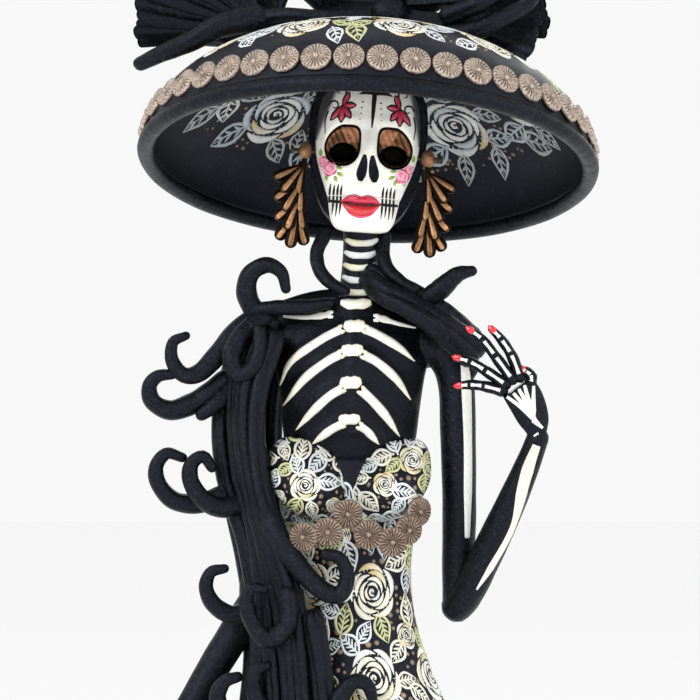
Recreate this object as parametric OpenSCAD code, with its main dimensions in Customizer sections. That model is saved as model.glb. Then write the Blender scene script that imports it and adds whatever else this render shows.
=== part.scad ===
// Catrina figure in black fired clay with a lift-off hat and swinging earrings.
// Millimetres. +Z up, the figure faces -Y, origin at the middle of the underside of the base.

/* [Base and gown] */
// Half width of the base at the floor
baseHalfWidth = 74; // [66:1:82]
// Half depth of the base at the floor
baseHalfDepth = 68; // [60:1:76]
// Thickness of the base slab
baseThick = 7; // [5:0.5:10]
// Wall of the hollow skirt
skirtWall = 5; // [4:0.5:8]
// Radius of the rolled hem
hemRoll = 4.5; // [3:0.25:6]

/* [Figure] */
// Radius of the steel rod inside the figure
rodRadius = 3; // [2:0.25:4]
// Radius of a rib
ribRadius = 1.5; // [1:0.1:2.5]
// How far the head leans, in degrees
headRoll = 4; // [0:0.5:8]
// Radius of a fingertip
fingerRadius = 1.9; // [1.4:0.1:2.6]

/* [Hat] */
// Radius of the hat at its lip
hatRadius = 91; // [85:0.5:96]
// Height of the hat's bowl above its lip
hatHeight = 49; // [44:0.5:54]
// Wall of the hat
hatWall = 4; // [3:0.25:6]
// How far the hat leans back, in degrees
hatTilt = 16.5; // [10:0.5:22]
// How far the hat leans sideways, in degrees
hatRoll = 3; // [0:0.5:6]
// Radius of the lip's roll
lipRoll = 3.5; // [2.5:0.25:4.5]
// Rosettes round the brim
rosetteCount = 45; // [40:1:45]
// Radius of a brim rosette
rosetteRadius = 6; // [4.5:0.1:6.1]
// Thickness of a rosette
rosetteThick = 2.6; // [1.5:0.1:3.5]
// Radius of the hat's peg
pegRadius = 3; // [2.5:0.25:4]
// Radial gap between the peg and its holes
pegGap = 0.06; // [0.02:0.01:0.1]

/* [Earrings] */
// Radius of an earring's bead
beadRadius = 3.2; // [2.5:0.1:4]
// Radius of the pin through the bead
pinRadius = 0.8; // [0.6:0.05:1.2]
// Radial gap between the pin and the bead
pinGap = 0.07; // [0.02:0.01:0.1]
// Leaves on each earring
leafCount = 12; // [9:3:12]

/* [Feather scarf] */
// Radius of a long strand
strandRadius = 4.8; // [4:0.1:5.5]
// Radius of a curl's thick end
curlRadius = 4.2; // [3.5:0.1:5]

/* [Colours] */
// Black clay
clayColour = [0.14, 0.14, 0.16];
// Painted gown
gownColour = [0.3, 0.3, 0.3];
// Painted bone
boneColour = [0.92, 0.92, 0.88];
// Champagne rosettes
rosetteColour = [0.68, 0.6, 0.54];
// Bronze leaves
bronzeColour = [0.62, 0.43, 0.27];
// Red paint
redColour = [0.8, 0.2, 0.25];
// Wood
woodColour = [0.72, 0.55, 0.36];
// Steel
steelColour = [0.6, 0.6, 0.62];

/* [Hidden] */
hatAt = [6.4, 0, 462];
flowerLift = [0, 0, 3];
headAt = [6, 0, 466];
// The sub-part to build, or all of them

function unit(v) = v / norm(v);
function spline(a, b, c, d, t) =
  0.5 * (2 * b + (c - a) * t + (2 * a - 5 * b + 4 * c - d) * t * t + (3 * b - a - 3 * c + d) * t * t * t);
function smooth(p, k) = [
  for (i = [0 : len(p) - 2])
    for (j = [0 : k - 1])
      spline(p[max(i - 1, 0)], p[i], p[i + 1], p[min(i + 2, len(p) - 1)], j / k),
  p[len(p) - 1]
];
function slope(p, i) = unit(p[min(i + 1, len(p) - 1)] - p[max(i - 1, 0)]);
function ring(c, t, ref, r, n) =
  let (u = unit(cross(ref, t)), v = cross(t, u))
  [for (j = [0 : n - 1]) c + r * (cos(360 * j / n) * u + sin(360 * j / n) * v)];
function oval(s, n) = [
  for (j = [0 : n - 1])
    [s[3] + s[1] * cos(360 * j / n), s[4] + s[2] * sin(360 * j / n), s[0]]
];
function sideFaces(m, n, loop) = [
  for (i = [0 : m - (loop ? 1 : 2)])
    for (j = [0 : n - 1])
      let (a = i * n + j, b = ((i + 1) % m) * n + j)
      let (c = ((i + 1) % m) * n + (j + 1) % n, d = i * n + (j + 1) % n)
      each [[a, b, c], [a, c, d]]
];

// A closed skin over rings of points
module skin(rings) {
  m = len(rings);
  n = len(rings[0]);
  faces = concat(
    sideFaces(m, n, false),
    [[for (j = [0 : n - 1]) j]],
    [[for (j = [n - 1 : -1 : 0]) (m - 1) * n + j]]
  );
  polyhedron(points = [for (r = rings) each r], faces = faces, convexity = 8);
}

// A skin that closes on itself, for a hollow wall
module skinLoop(rings) {
  polyhedron(
    points = [for (r = rings) each r],
    faces = sideFaces(len(rings), len(rings[0]), true),
    convexity = 8
  );
}

// A round strand along points, its radius running from r0 through r1 to r2
module strand(p, r0, r1, r2, ref = [0, 1, 0], n = 8, k = 3) {
  q = smooth(p, k);
  m = len(q);
  skin([
    for (i = [0 : m - 1])
      let (t = i / (m - 1))
      let (r = t < 0.5 ? r0 + (r1 - r0) * t * 2 : r1 + (r2 - r1) * (t - 0.5) * 2)
      ring(q[i], slope(q, i), ref, r, n)
  ]);
}

// A body through oval sections [z, half width, half depth, x, y]
module loft(s, n = 28) {
  skin([for (r = s) oval(r, n)]);
}

// A fan-shaped leaf spreading in its own XZ plane
module fan(a0, a1, r0, r1, ridges, amp, bow, thick, rows = 4, cols = 14) {
  wall = [
    for (i = [0 : rows])
      let (t = i / rows)
      let (r = r0 + (r1 - r0) * t)
      concat(
        [
          for (j = [0 : cols])
            let (s = j / cols, a = a0 + (a1 - a0) * s)
            let (w = r * (1 - 0.06 * t * abs(sin(180 * ridges * s))))
            [w * cos(a), bow * t * t + amp * t * cos(360 * ridges * s), w * sin(a)]
        ],
        [
          for (j = [cols : -1 : 0])
            let (s = j / cols, a = a0 + (a1 - a0) * s)
            let (w = r * (1 - 0.06 * t * abs(sin(180 * ridges * s))))
            [w * cos(a), bow * t * t + amp * t * cos(360 * ridges * s) + thick, w * sin(a)]
        ]
      )
  ];
  n = 2 * (cols + 1);
  m = rows + 1;
  caps = [
    for (j = [0 : cols - 1])
      each [
        [j, j + 1, n - 2 - j],
        [j, n - 2 - j, n - 1 - j],
        [(m - 1) * n + j, (m - 1) * n + n - 2 - j, (m - 1) * n + j + 1],
        [(m - 1) * n + j, (m - 1) * n + n - 1 - j, (m - 1) * n + n - 2 - j]
      ]
  ];
  polyhedron(points = [for (r = wall) each r], faces = concat(sideFaces(m, n, false), caps), convexity = 8);
}

module inHead() {
  translate(headAt) rotate([0, headRoll, 0]) children();
}

module inHat() {
  translate(hatAt) rotate([-hatTilt, hatRoll, 0]) children();
}

module flatRosette(r, t) {
  cylinder(r = r, h = t, $fn = 20);
}

gownDepth = 0.92;
skirtProfile = [
  [7, 71], [16, 68], [34, 58], [56, 48], [82, 39], [108, 33.5], [130, 31], [155, 32], [185, 36], [212, 39],
  [237, 38]
];
bodiceSections = [
  [235.8, 38, 35, 1, 0], [246, 35.2, 31, 1.6, 0], [258, 30, 25.6, 2, 0], [272, 25, 21, 2, 0],
  [286, 22.6, 19, 1.6, 0], [300, 22.6, 18.5, 1, 0], [312, 25, 18.5, 0, 0], [324, 28, 18.5, -0.8, 0],
  [336, 27.5, 17.5, -1, 0], [343, 24, 15, -1, 0]
];
torsoSections = [
  [326, 24, 14, -1, 1], [342, 25.5, 15, -1, 1], [353, 26.8, 16, -0.8, 1], [364, 28, 17, -0.6, 1],
  [375, 29.5, 17.5, -0.4, 2], [384, 32, 17, -0.8, 2.5], [392, 33.5, 15, -1.5, 3],
  [398, 30, 12.5, -1, 3.5], [403, 20, 10.5, 0.5, 4], [407, 10, 9, 2, 4]
];
skullSections = [
  [-19.6, 14.6, 15, 0, -4.5], [-16, 16, 17, 0, -4], [-10, 18.2, 19.5, 0, -2.6], [-4, 20, 21.6, 0, -1.2],
  [2, 20.8, 23, 0, 0], [9, 20.8, 23.6, 0, 1], [17, 20, 23.4, 0, 1.6], [23, 17.4, 21, 0, 2.2],
  [27.5, 13.2, 16.8, 0, 3], [30.6, 7.5, 10, 0, 3.6], [32, 3, 4, 0, 4]
];
jawSections = [
  [-33.4, 7.6, 5.2, 0, -12.6], [-32.2, 10.6, 8, 0, -10.6], [-29, 12.6, 11, 0, -8.4],
  [-24.5, 13.6, 13.2, 0, -6.6], [-19.7, 14.4, 14.8, 0, -4.6]
];
hairSections = [
  [-30, 12, 9, 0, 13], [-24, 17, 14, 0, 12], [-14, 21, 19, 0, 9], [-2, 23.4, 23.5, 0, 5.4],
  [10, 24, 25, 0, 4], [20, 22.6, 24, 0, 4.4], [27, 18, 19, 0, 5], [31.5, 11.5, 12.5, 0, 6], [33.6, 4, 5, 0, 6.4]
];

module base_board() {
  color(clayColour) scale([1, baseHalfDepth / baseHalfWidth, 1]) rotate_extrude($fn = 72) polygon([
    [0, 0], [baseHalfWidth - 1.5, 0], [baseHalfWidth, 1.5], [baseHalfWidth, baseThick - 1],
    [baseHalfWidth - 1, baseThick], [0, baseThick]
  ]);
}

module spine_rod() {
  color(steelColour) translate([1, 3, 7.2]) cylinder(r = rodRadius, h = 396, $fn = 24);
}

module skirt_shell() {
  outer = [for (s = skirtProfile) [s[1], s[0] + 0.1]];
  inner = [for (i = [len(skirtProfile) - 1 : -1 : 0]) [skirtProfile[i][1] - skirtWall,
    skirtProfile[i][0] + 0.1]];
  color(gownColour) translate([1, 0, 0]) scale([1, gownDepth, 1])
    rotate_extrude($fn = 72) polygon(concat(outer, inner));
}

module hem_roll() {
  color(gownColour) scale([1, gownDepth, 1])
    rotate_extrude($fn = 72) translate([71.5, 11.2]) circle(r = hemRoll, $fn = 24);
}

module bodice() {
  color(gownColour) loft([for (s = bodiceSections) [s[0] + 1.4, s[1], s[2], s[3], s[4]]], 32);
}

// Half of the bodice's top, its upper outer corner squared; side is -1 or 1
module cup(w, h, d, side) {
  skin([
    for (t = [0 : 10 : 80])
      let (k = cos(t), m = k * (1 - 0.12 * sin(t)))
      [
        for (j = [0 : 23])
          let (a = 360 * j / 24, p = side * cos(a) > 0 && sin(a) > 0 ? 0.72 : 1.05)
          let (c = sign(cos(a)) * pow(abs(cos(a)), p), e = sign(sin(a)) * pow(abs(sin(a)), p))
          [w * m * c, -d * sin(t), m * (h * e + side * 0.26 * w * c) - 3 * sin(t)]
      ]
  ]);
}

module bust_cup_right() {
  color(gownColour) translate([-16.8, -9, 334.5]) rotate([0, 0, -8]) cup(16.6, 15.8, 22, -1);
}

module bust_cup_left() {
  color(gownColour) translate([15.2, -9, 334]) rotate([0, 0, 8]) cup(16.4, 15.8, 22, 1);
}

module belt_rosettes() {
  spots = [
    [-19.6, -26.5, 313, -20], [-9.6, -28.5, 315, -9], [-1.6, -27.5, 322, 0], [6.6, -28.5, 314, 5],
    [16.2, -26.8, 311, 13], [22.8, -24.4, 315.5, 26], [27.4, -20.5, 322.5, 40]
  ];
  color(rosetteColour) for (s = spots)
    translate([s[0], s[1], s[2]]) rotate([90, 0, s[3]]) flatRosette(5.8, 6);
}

module torso() {
  color(clayColour) loft(torsoSections, 32);
}

module ribPair(z0, z1, x0, x1, side, y0, y1) {
  strand([
    [side * x0 - 1, y0, z0], [side * (x0 + (x1 - x0) * 0.35) - 1, y0 - 0.4, z0 - (z0 - z1) * 0.22],
    [side * (x0 + (x1 - x0) * 0.7) - 1, (y0 * 2 + y1) / 3, z0 - (z0 - z1) * 0.58],
    [side * x1 - 1, y1, z1]
  ], ribRadius * 1.25, ribRadius, ribRadius * 0.7, [0, 1, 0.2], 6, 3);
}

module ribs() {
  color(boneColour) {
    ribPair(394, 372, 5, 28, -1, -12.6, -5.5);
    ribPair(384, 363, 5, 27, -1, -14.8, -4.5);
    ribPair(370, 354, 4.6, 22.5, -1, -15.6, -8.5);
    ribPair(356, 348, 4.4, 15.5, -1, -15.2, -11.6);
    ribPair(393, 381, 6, 26, 1, -12.8, -7.5);
    ribPair(382, 366, 5.4, 25, 1, -14.8, -6.5);
    ribPair(369, 351, 4.8, 20.5, 1, -15.6, -9);
    ribPair(355, 348, 4.4, 12.5, 1, -15.2, -12.6);
  }
}

module breastbone() {
  spots = [[405.4, -6.2, 3], [396, -11, 3.6], [385.5, -13.8, 3.4], [373, -15.2, 3.6], [358, -14.9, 3.2]];
  color(boneColour) for (s = spots)
    translate([0.6, s[1], s[0]]) scale([1.25, 0.7, 0.85]) sphere(r = s[2], $fn = 20);
}

module collar_bones() {
  color(boneColour) {
    strand([[-7, -9, 401], [-16, -11.2, 400.4], [-24, -10.4, 399.6],
      [-31, -6.5, 399]], 1.3, 1.2, 0.9, [0, 1, 0.2], 6, 3);
    strand([[9.5, -9, 399.4], [15, -10.8, 398], [20, -10, 396.6],
      [25.5, -7, 395]], 1.3, 1.2, 0.9, [0, 1, 0.2], 6, 3);
  }
}

module neck() {
  color(clayColour) loft([
    [399, 8.6, 8.6, 1.6, 4], [406, 7.6, 7.8, 2, 4], [416, 7.2, 7.4, 2.8, 3.6], [426, 7.4, 7.6, 3.8, 3.2],
    [440, 8.4, 8.6, 5, 3]
  ], 24);
}

module neck_bands() {
  color(boneColour) for (i = [0 : 4])
    let (z = 408.5 + i * 5)
    translate([2.2 + i * 0.45, 3.8 - i * 0.15, z]) rotate([0, 2, 0]) intersection() {
      cylinder(r = 8.2, h = 3.2, $fn = 28);
      translate([-9, -9, -1]) cube([18, 8.6, 6]);
    }
}

module hatHole() {
  inHat() translate([0, 0, 20]) cylinder(r = 9, h = 40, $fn = 32);
}

module skull() {
  color(boneColour) difference() {
    inHead() loft(skullSections, 28);
    inHead() translate([-10.6, -24, 0.6]) scale([7, 8, 7.2]) sphere(r = 1, $fn = 18);
    inHead() translate([10.6, -24, 0.6]) scale([7, 8, 7.2]) sphere(r = 1, $fn = 18);
    hatHole();
  }
}

module lower_jaw() {
  color(boneColour) inHead() loft(jawSections, 28);
}

module lips() {
  color(redColour) inHead() translate([-1, -19.2, -21.4]) {
    translate([-3, 0, 2]) scale([1.5, 0.8, 1]) sphere(r = 2.9, $fn = 18);
    translate([3, 0, 2]) scale([1.5, 0.8, 1]) sphere(r = 2.9, $fn = 18);
    translate([0, 0.2, -2]) scale([2, 0.9, 1]) sphere(r = 2.9, $fn = 18);
  }
}

module eye_sockets() {
  color(bronzeColour) for (x = [-10.6, 10.6])
    inHead() translate([x, -20.6, 0.6]) rotate([90, 0, 0]) difference() {
      cylinder(r = 6.3, h = 2.6, $fn = 24, center = true);
      cylinder(r = 3.6, h = 4, $fn = 20, center = true);
    }
}

module nose_marks() {
  color(clayColour) inHead() for (x = [-1.6, 1.6])
    translate([x + 0.4, -22.6, -7.6]) rotate([12, x * 8, 0]) scale([1.4, 1, 4.4]) sphere(r = 1, $fn = 14);
}

module hair_cap() {
  color(clayColour) difference() {
    inHead() loft(hairSections, 28);
    inHead() loft([for (s = skullSections) [s[0], s[1] + 0.02, s[2] + 0.02, s[3], s[4]]], 28);
    inHead() loft([for (s = jawSections) [s[0] - 0.2, s[1] + 0.02, s[2] + 0.02, s[3], s[4]]], 28);
    inHead() translate([-40, -60, -60]) cube([80, 62, 84]);
    inHead() translate([-40, -60, -60]) cube([80, 67.5, 57]);
    hatHole();
  }
}

module hat_seat() {
  color(woodColour) inHat() translate([0, 0, 20]) difference() {
    cylinder(r = 9, h = hatHeight - hatWall - 20.5, $fn = 32);
    translate([0, 0, 3]) cylinder(r = pegRadius + pegGap, h = 60, $fn = 48);
  }
}

module ear_pins() {
  color(bronzeColour) inHead() for (s = [-1, 1]) {
    translate([s * 16, -3, -2]) rotate([0, s * 90, 0]) cylinder(r = pinRadius, h = 14, $fn = 24);
    translate([s * 29.2, -3, -2]) rotate([0, s * 90, 0]) cylinder(r = 1.7, h = 1.2, $fn = 20);
  }
}

module upper_arm_left() {
  color(clayColour) strand(
    [[27, 4, 388], [36, 4, 386], [41.5, 3, 374], [42.5, 2, 352], [43, 1, 322], [42.5, 0, 300], [42.5, -1, 285]],
    9.5, 7.4, 6.4, [0, 1, 0.1], 14, 3
  );
}

module forearm_left() {
  color(clayColour) strand(
    [[42, -2, 283.5], [46, -5, 289], [54, -11, 306], [63, -17, 326], [69.6, -21, 342], [73, -23, 351.4]],
    6.4, 6, 4.4, [0, 1, 0.1], 14, 3
  );
}

module hand_left() {
  color(clayColour) loftHand();
}

module loftHand() {
  skin([
    for (s = [
      [[73, -23, 351.6], 4.6, 3.4], [[73, -24, 356], 5.4, 3.2], [[70.8, -25.4, 361], 6.8, 3.2],
      [[68, -27, 366.6], 7.3, 3], [[64.8, -28.4, 371.4], 7, 2.6]
    ])
      let (u = [0.8, 0.15, 0.58], v = [-0.1, 1, 0.1])
      [for (j = [0 : 13]) s[0] + s[1] * cos(360 * j / 14) * u - s[2] * sin(360 * j / 14) * v]
  ]);
}

leftFingers = [
  [[58.8, -28, 370], [52, -30, 371.8], [46.4, -29.6, 372.4], [41.5, -28, 372]],
  [[60, -28.6, 372.6], [52, -31, 378], [46, -30.4, 381.4], [40.8, -28.6, 383]],
  [[62.6, -28.8, 374.6], [56.4, -31, 383], [51, -30.8, 390], [46, -29.4, 394]],
  [[65.6, -28.6, 375.6], [62.4, -30.4, 383.8], [58.4, -30.4, 390], [54.6, -29.2, 394.2]],
  [[70, -27.4, 373.4], [70.2, -28.6, 375.6], [68.6, -29, 377.4], [66.4, -28.6, 378.6]]
];

module fingers_left() {
  color(clayColour) for (f = leftFingers)
    strand(f, fingerRadius * 1.25, fingerRadius * 1.1, fingerRadius * 0.8, [0, 1, 0.1], 8, 3);
}

module nails(tips) {
  for (t = tips)
    translate(t[0]) rotate([0, t[1], 0]) scale([1.9, 1.1, 1.25]) sphere(r = 1.25, $fn = 16);
}

module nails_left() {
  color(redColour) nails([
    [[40.6, -28.8, 372], 0], [[40, -29.2, 383.4], 15], [[45, -30, 394.6], 35], [[53.8, -29.8, 395], 45],
    [[65.4, -29.2, 378.8], 20]
  ]);
}

module arm_wire_left() {
  color(steelColour) strand(
    [[20, 3, 386], [34, 3.5, 385], [40.5, 3, 373], [42.4, 2, 350], [42.6, 0.4, 305], [43, -2, 290],
      [52.5, -10, 304], [67.6, -20, 340]],
    1.2, 1.2, 1.2, [0, 1, 0.1], 6, 2
  );
}

module upper_arm_right() {
  color(clayColour) strand(
    [[-27, 5, 391], [-37, 6, 389], [-42, 7, 375], [-42, 8, 350], [-40, 7, 320], [-38.5, 5, 300],
      [-38.5, 3, 287]],
    9.5, 7.6, 6.8, [0, 1, 0.1], 14, 3
  );
}

module forearm_right() {
  color(clayColour) strand(
    [[-38.6, 2, 285], [-44, -1, 277], [-53, -4, 263], [-62, -7, 248], [-71, -9, 233], [-77.5, -10, 222]],
    7, 6.4, 4.6, [0, 1, 0.1], 14, 3
  );
}

module hand_right() {
  color(clayColour) skin([
    for (s = [
      [[-77.4, -10, 222], 4.5, 3.4], [[-80, -10.6, 216.6], 5.8, 3.2], [[-83, -11.4, 210.4], 6.8, 3],
      [[-85.6, -12.4, 204.6], 6.4, 2.6]
    ])
      let (u = [-0.86, -0.1, 0.5], v = [0, -1, 0])
      [for (j = [0 : 13]) s[0] + s[1] * cos(360 * j / 14) * u - s[2] * sin(360 * j / 14) * v]
  ]);
}

module fingers_right() {
  color(clayColour) {
    for (i = [0 : 3])
      let (b = [-89.6 + i * 2.9, -12 - i * 0.3, 207.6 - i * 1.9])
      strand([b, b + [-3.4 + i * 0.7, -1.4, -7], b + [-4.2 + i * 1.2, -0.8, -13], b + [-3.4 + i * 1.6,
        1.2, -18.5]], 2.1, 2, 1.5, [0, 1, 0.1], 8, 3);
    strand([[-77, -12, 213], [-75, -15, 206], [-75.5, -17, 200]], 2.2, 2, 1.6, [0, 1, 0.1], 8, 3);
  }
}

module nails_right() {
  color(redColour) nails([
    [[-93.2, -11.8, 188.6], 75], [[-88.6, -12.2, 186.8], 80], [[-84, -12.6, 185], 85],
    [[-79.6, -12.9, 183.2], 95], [[-75.6, -18.2, 199], 90]
  ]);
}

module arm_wire_right() {
  color(steelColour) strand(
    [[-20, 4, 389], [-35, 6, 388], [-41, 7, 374], [-41.8, 8, 350], [-39.6, 6.4, 315], [-39, 2.6, 288],
      [-53, -4, 263], [-74, -9.4, 228]],
    1.2, 1.2, 1.2, [0, 1, 0.1], 6, 2
  );
}

module curl(p, r0, r2) {
  strand(p, r0, r0 * 0.96, r2, [0, 1, 0.05], 8, 3);
}

module scarf_shoulder_wrap() {
  color(clayColour) {
    curl([[7, -4, 414], [12, -10, 410.4], [22, -12, 405], [32, -12, 398.4], [41, -9.6, 392.6],
      [48.4, -5, 387.6]], 4.6, 5.6);
    curl([[8.6, -7.4, 410], [13.4, -12.6, 406.4], [22, -16, 402], [30, -16.6, 397], [38.6, -13.6, 390],
      [46, -8.6, 383.6]], 3.6, 4.8);
    curl([[8, -2, 417], [18, -4, 412.6], [28, -5, 406.6], [38, -4, 399], [47, -1, 391]], 4, 5.4);
    curl([[30, -6, 406], [36, -8, 411], [42, -9, 416], [47.6, -9, 417.4]], 4.6, 2.2);
  }
}

module scarf_neck_loops() {
  color(clayColour) {
    curl([[-11, 1, 432], [-14, -2, 425], [-13, -5, 418], [-9, -7, 413], [-3, -8, 409.6]], 3, 2.4);
    curl([[13, 1, 432], [12.4, -2, 425], [14, -6, 418.6], [19, -9, 413.4], [24, -9, 410]], 3, 2.4);
  }
}

module scarf_top_hook() {
  color(clayColour) {
    curl([[-33, -6, 396.6], [-38.8, -8, 401.6], [-42, -10.6, 408.8], [-40.4, -12, 416.2],
      [-33.8, -13, 419.8], [-28, -13, 416.8], [-26.2, -13, 410.4]], 4.6, 2.1);
    curl([[-39, -9, 401.8], [-29, -11.4, 402.8], [-18, -11, 403.2], [-9.4, -7, 404.6]],
      3.4, 2.2);
    curl([[-35.4, -9, 399], [-43.6, -13, 391.4], [-47.6, -16, 382.8], [-44.4, -17.4, 376.4],
      [-39.4, -18.4, 379], [-36.6, -19, 386.6], [-36.4, -18.4, 393.4]], 4.4, 2.8);
  }
}

module scarf_upper_curls() {
  color(clayColour) {
    curl([[-38, -4, 399], [-46, -6, 393], [-54, -9, 383.4], [-60.8, -11, 376.8],
      [-67, -12, 376.2], [-71.4, -12, 382], [-71, -12, 389], [-66, -12, 391.6]], 4.6, 1.9);
    curl([[-50, -5, 374], [-57, -7, 368.4], [-64.4, -8, 364.2], [-72.4, -10, 362],
      [-79.2, -11, 365.6], [-80.4, -12, 371.6], [-77, -12, 375.6], [-71.4, -12, 376.4]],
      4.8, 2.2);
    curl([[-48, -8, 370], [-54, -11, 364.6], [-59.6, -12, 360.4]], 4, 2.6);
  }
}

module scarf_middle_curls() {
  color(clayColour) {
    curl([[-44, -6, 331], [-51, -8, 328.4], [-60.4, -10, 325], [-70.6, -11, 326.2],
      [-76.8, -12, 333], [-77.6, -12, 340], [-73.4, -12, 345], [-67.4, -12, 343.4]],
      4.4, 2.1);
    curl([[-40, -12, 327], [-45.4, -14, 324.4], [-52.4, -16, 323.6], [-59.4, -17, 327.4],
      [-63.8, -17, 334.4], [-63.4, -17, 341], [-58.8, -17, 344], [-55.4, -17, 339.6]],
      4.4, 2.1);
  }
}

module scarf_lower_curls() {
  color(clayColour) {
    curl([[-36, -17, 285], [-41, -18.4, 282.8], [-48.2, -20, 281.8], [-54.8, -20, 286],
      [-57.6, -20, 292.6], [-55.6, -20, 298.4], [-50.4, -20, 299.8]], 4, 2);
    curl([[-25, -29, 290], [-24.6, -30.6, 282], [-27, -31.4, 276], [-33.2, -32, 273],
      [-38.9, -32, 279], [-41.4, -32, 287.2], [-39.4, -32, 293], [-34.6, -32, 292.6]],
      4.2, 2);
    curl([[-46, -20, 236], [-51, -22, 243], [-53, -23, 250], [-50, -23, 255.6],
      [-45, -23, 257.4]], 4.2, 2.2);
    curl([[-33, -24, 238], [-36.6, -26, 247], [-38.8, -27, 255], [-37.4, -27, 260.6],
      [-33.6, -27, 262.4]], 4, 2);
    curl([[-9, -33, 236], [-6, -34, 248], [0, -34.4, 256.4], [6, -34.4, 255.4],
      [8.4, -34.4, 248]], 4.2, 2);
  }
}

module scarf_front_strand() {
  color(clayColour) {
    curl([[-38, -15, 346], [-35.8, -19, 330.6], [-30.4, -25, 315], [-21.2, -28.6, 301.4],
      [-12, -31, 292.4], [-5, -31.8, 290.4], [-1.8, -32, 297.2], [-4.6, -32, 304.6],
      [-10, -32, 306.2]], 5.2, 2.5);
  }
}

longPaths = [
  [[-40, -8, 392], [-45, -11, 370], [-43.6, -14, 340], [-37, -18, 312], [-33, -21, 282],
    [-30, -24, 252], [-29, -26, 216], [-29, -27, 186], [-34, -28, 168], [-42, -28, 170],
    [-42, -28, 179]],
  [[-45, -2, 386], [-51, -5, 362], [-49.4, -8, 336], [-41, -12, 308], [-36.4, -17, 280],
    [-36, -19, 248], [-38, -20, 216], [-41.6, -22, 192], [-49, -22, 176], [-57, -22, 180],
    [-56, -22, 189]],
  [[-31, -14, 390], [-38, -17, 366], [-37.4, -21, 336], [-29, -25, 306], [-21.6, -27, 280],
    [-18.6, -29.4, 250], [-17, -31, 220], [-15.6, -32, 190], [-10, -33, 172], [-2, -33, 172],
    [-1, -33, 181]],
  [[-35.6, -13, 388], [-42, -15.6, 368], [-40.6, -18.6, 338], [-33, -22.4, 308],
    [-26.4, -25, 280], [-24, -28, 250], [-22.8, -29.6, 218], [-22.4, -30, 184], [-22, -30, 158]],
  [[-15, -29, 280], [-12, -31, 262], [-9.6, -33, 238], [-8.6, -34.6, 210], [-6, -34, 190],
    [2, -34, 182], [8, -34, 188], [6, -34, 196]]
];

module scarf_long_strands() {
  color(clayColour) for (p = longPaths) strand(p, strandRadius, strandRadius, 2, [0, 1, 0.05], 8, 2);
}

module scarf_back_strands() {
  color(clayColour) {
    strand([[-44, 6, 388], [-49, 8, 360], [-48, 8, 330], [-42, 5, 302], [-39, 2, 274],
      [-42, -2, 242], [-48, -4, 218], [-57, -5, 204], [-65, -5, 210], [-63, -5, 219]],
      5, 5, 2, [0, 1, 0.05], 8, 2);
    strand([[-36, 14, 392], [-44, 17, 366], [-45, 18, 335], [-41, 18, 300], [-40, 18, 262],
      [-41, 19, 225], [-44, 19, 196], [-52, 19, 184], [-58, 19, 191]], 5.4, 5, 2, [0, 1, 0.05], 8, 2);
    strand([[-22, 17, 396], [-32, 20, 370], [-33, 20, 336], [-28, 20, 300], [-27, 22, 262],
      [-27, 26, 226], [-26, 28, 192], [-20, 29, 176], [-12, 29, 182]], 5.4, 5, 2, [0, 1, 0.05], 8, 2);
    strand([[-34, 12, 398], [-18, 17, 404], [0, 18.4, 406], [18, 16, 402], [34, 10, 394],
      [46, 2, 386]], 5.4, 5.6, 5, [0, 0.2, 1], 8, 2);
    strand([[-38, 12, 390], [-20, 18.6, 395], [0, 20, 397], [18, 18, 393], [36, 11, 385],
      [46, 3, 378]], 5, 5.4, 4.6, [0, 0.2, 1], 8, 2);
  }
}

module hat_peg() {
  color(woodColour) inHat() translate([0, 0, 23.4]) cylinder(r = pegRadius, h = 38, $fn = 48);
}

module hat_bowl() {
  pts = concat(
    [for (t = [0 : 6 : 84]) [hatRadius * cos(t), hatHeight * sin(t)]],
    [[9, hatHeight], [9, hatHeight - hatWall]],
    [for (t = [84 : -6 : 0]) [(hatRadius - hatWall) * cos(t), (hatHeight - hatWall) * sin(t)]]
  );
  color(gownColour) inHat() rotate_extrude($fn = 72) polygon(pts);
}

module hat_lip() {
  color(clayColour) inHat() rotate_extrude($fn = 72) translate([hatRadius - hatWall / 2,
    -1.6]) circle(r = lipRoll, $fn = 16);
}

module hat_crown() {
  color(clayColour) inHat() difference() {
    translate([0, 0, hatHeight - 5]) cylinder(r1 = 34, r2 = 26, h = 14, $fn = 40);
    scale([hatRadius, hatRadius, hatHeight]) sphere(r = 1, $fn = 72);
    cylinder(r = 9, h = 90, $fn = 32);
  }
}

module hat_socket() {
  color(woodColour) inHat() translate([0, 0, hatHeight - hatWall]) difference() {
    cylinder(r = 9, h = 20, $fn = 32);
    translate([0, 0, -1]) cylinder(r = pegRadius + pegGap, h = 18, $fn = 48);
  }
}

module brim_rosettes() {
  color(rosetteColour) inHat() for (i = [0 : rosetteCount - 1])
    rotate([0, 0, i * 360 / rosetteCount]) translate([88.7, 0, 8.4]) rotate([0, 71.7,
      0]) flatRosette(rosetteRadius, rosetteThick);
}

module fan_leaves() {
  color(clayColour) translate(flowerLift) {
    translate([-36, 2, 512]) rotate([-12, 0, 0]) fan(96, 192, 6, 52, 7, 1.6, -10, 3.2, 4, 18);
    translate([-30, 14, 514]) rotate([-6, 0, 0]) fan(70, 160, 6, 52, 6, 1.5, -4, 3.2, 4, 16);
    translate([-30, 34, 506]) rotate([14, 0, 0]) fan(100, 178, 6, 48, 6, 1.5, 8, 3.2, 4, 16);
    translate([40, 36, 506]) rotate([14, 0, 0]) fan(4, 84, 6, 38, 6, 1.5, 8, 3.2, 4, 16);
  }
}

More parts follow.
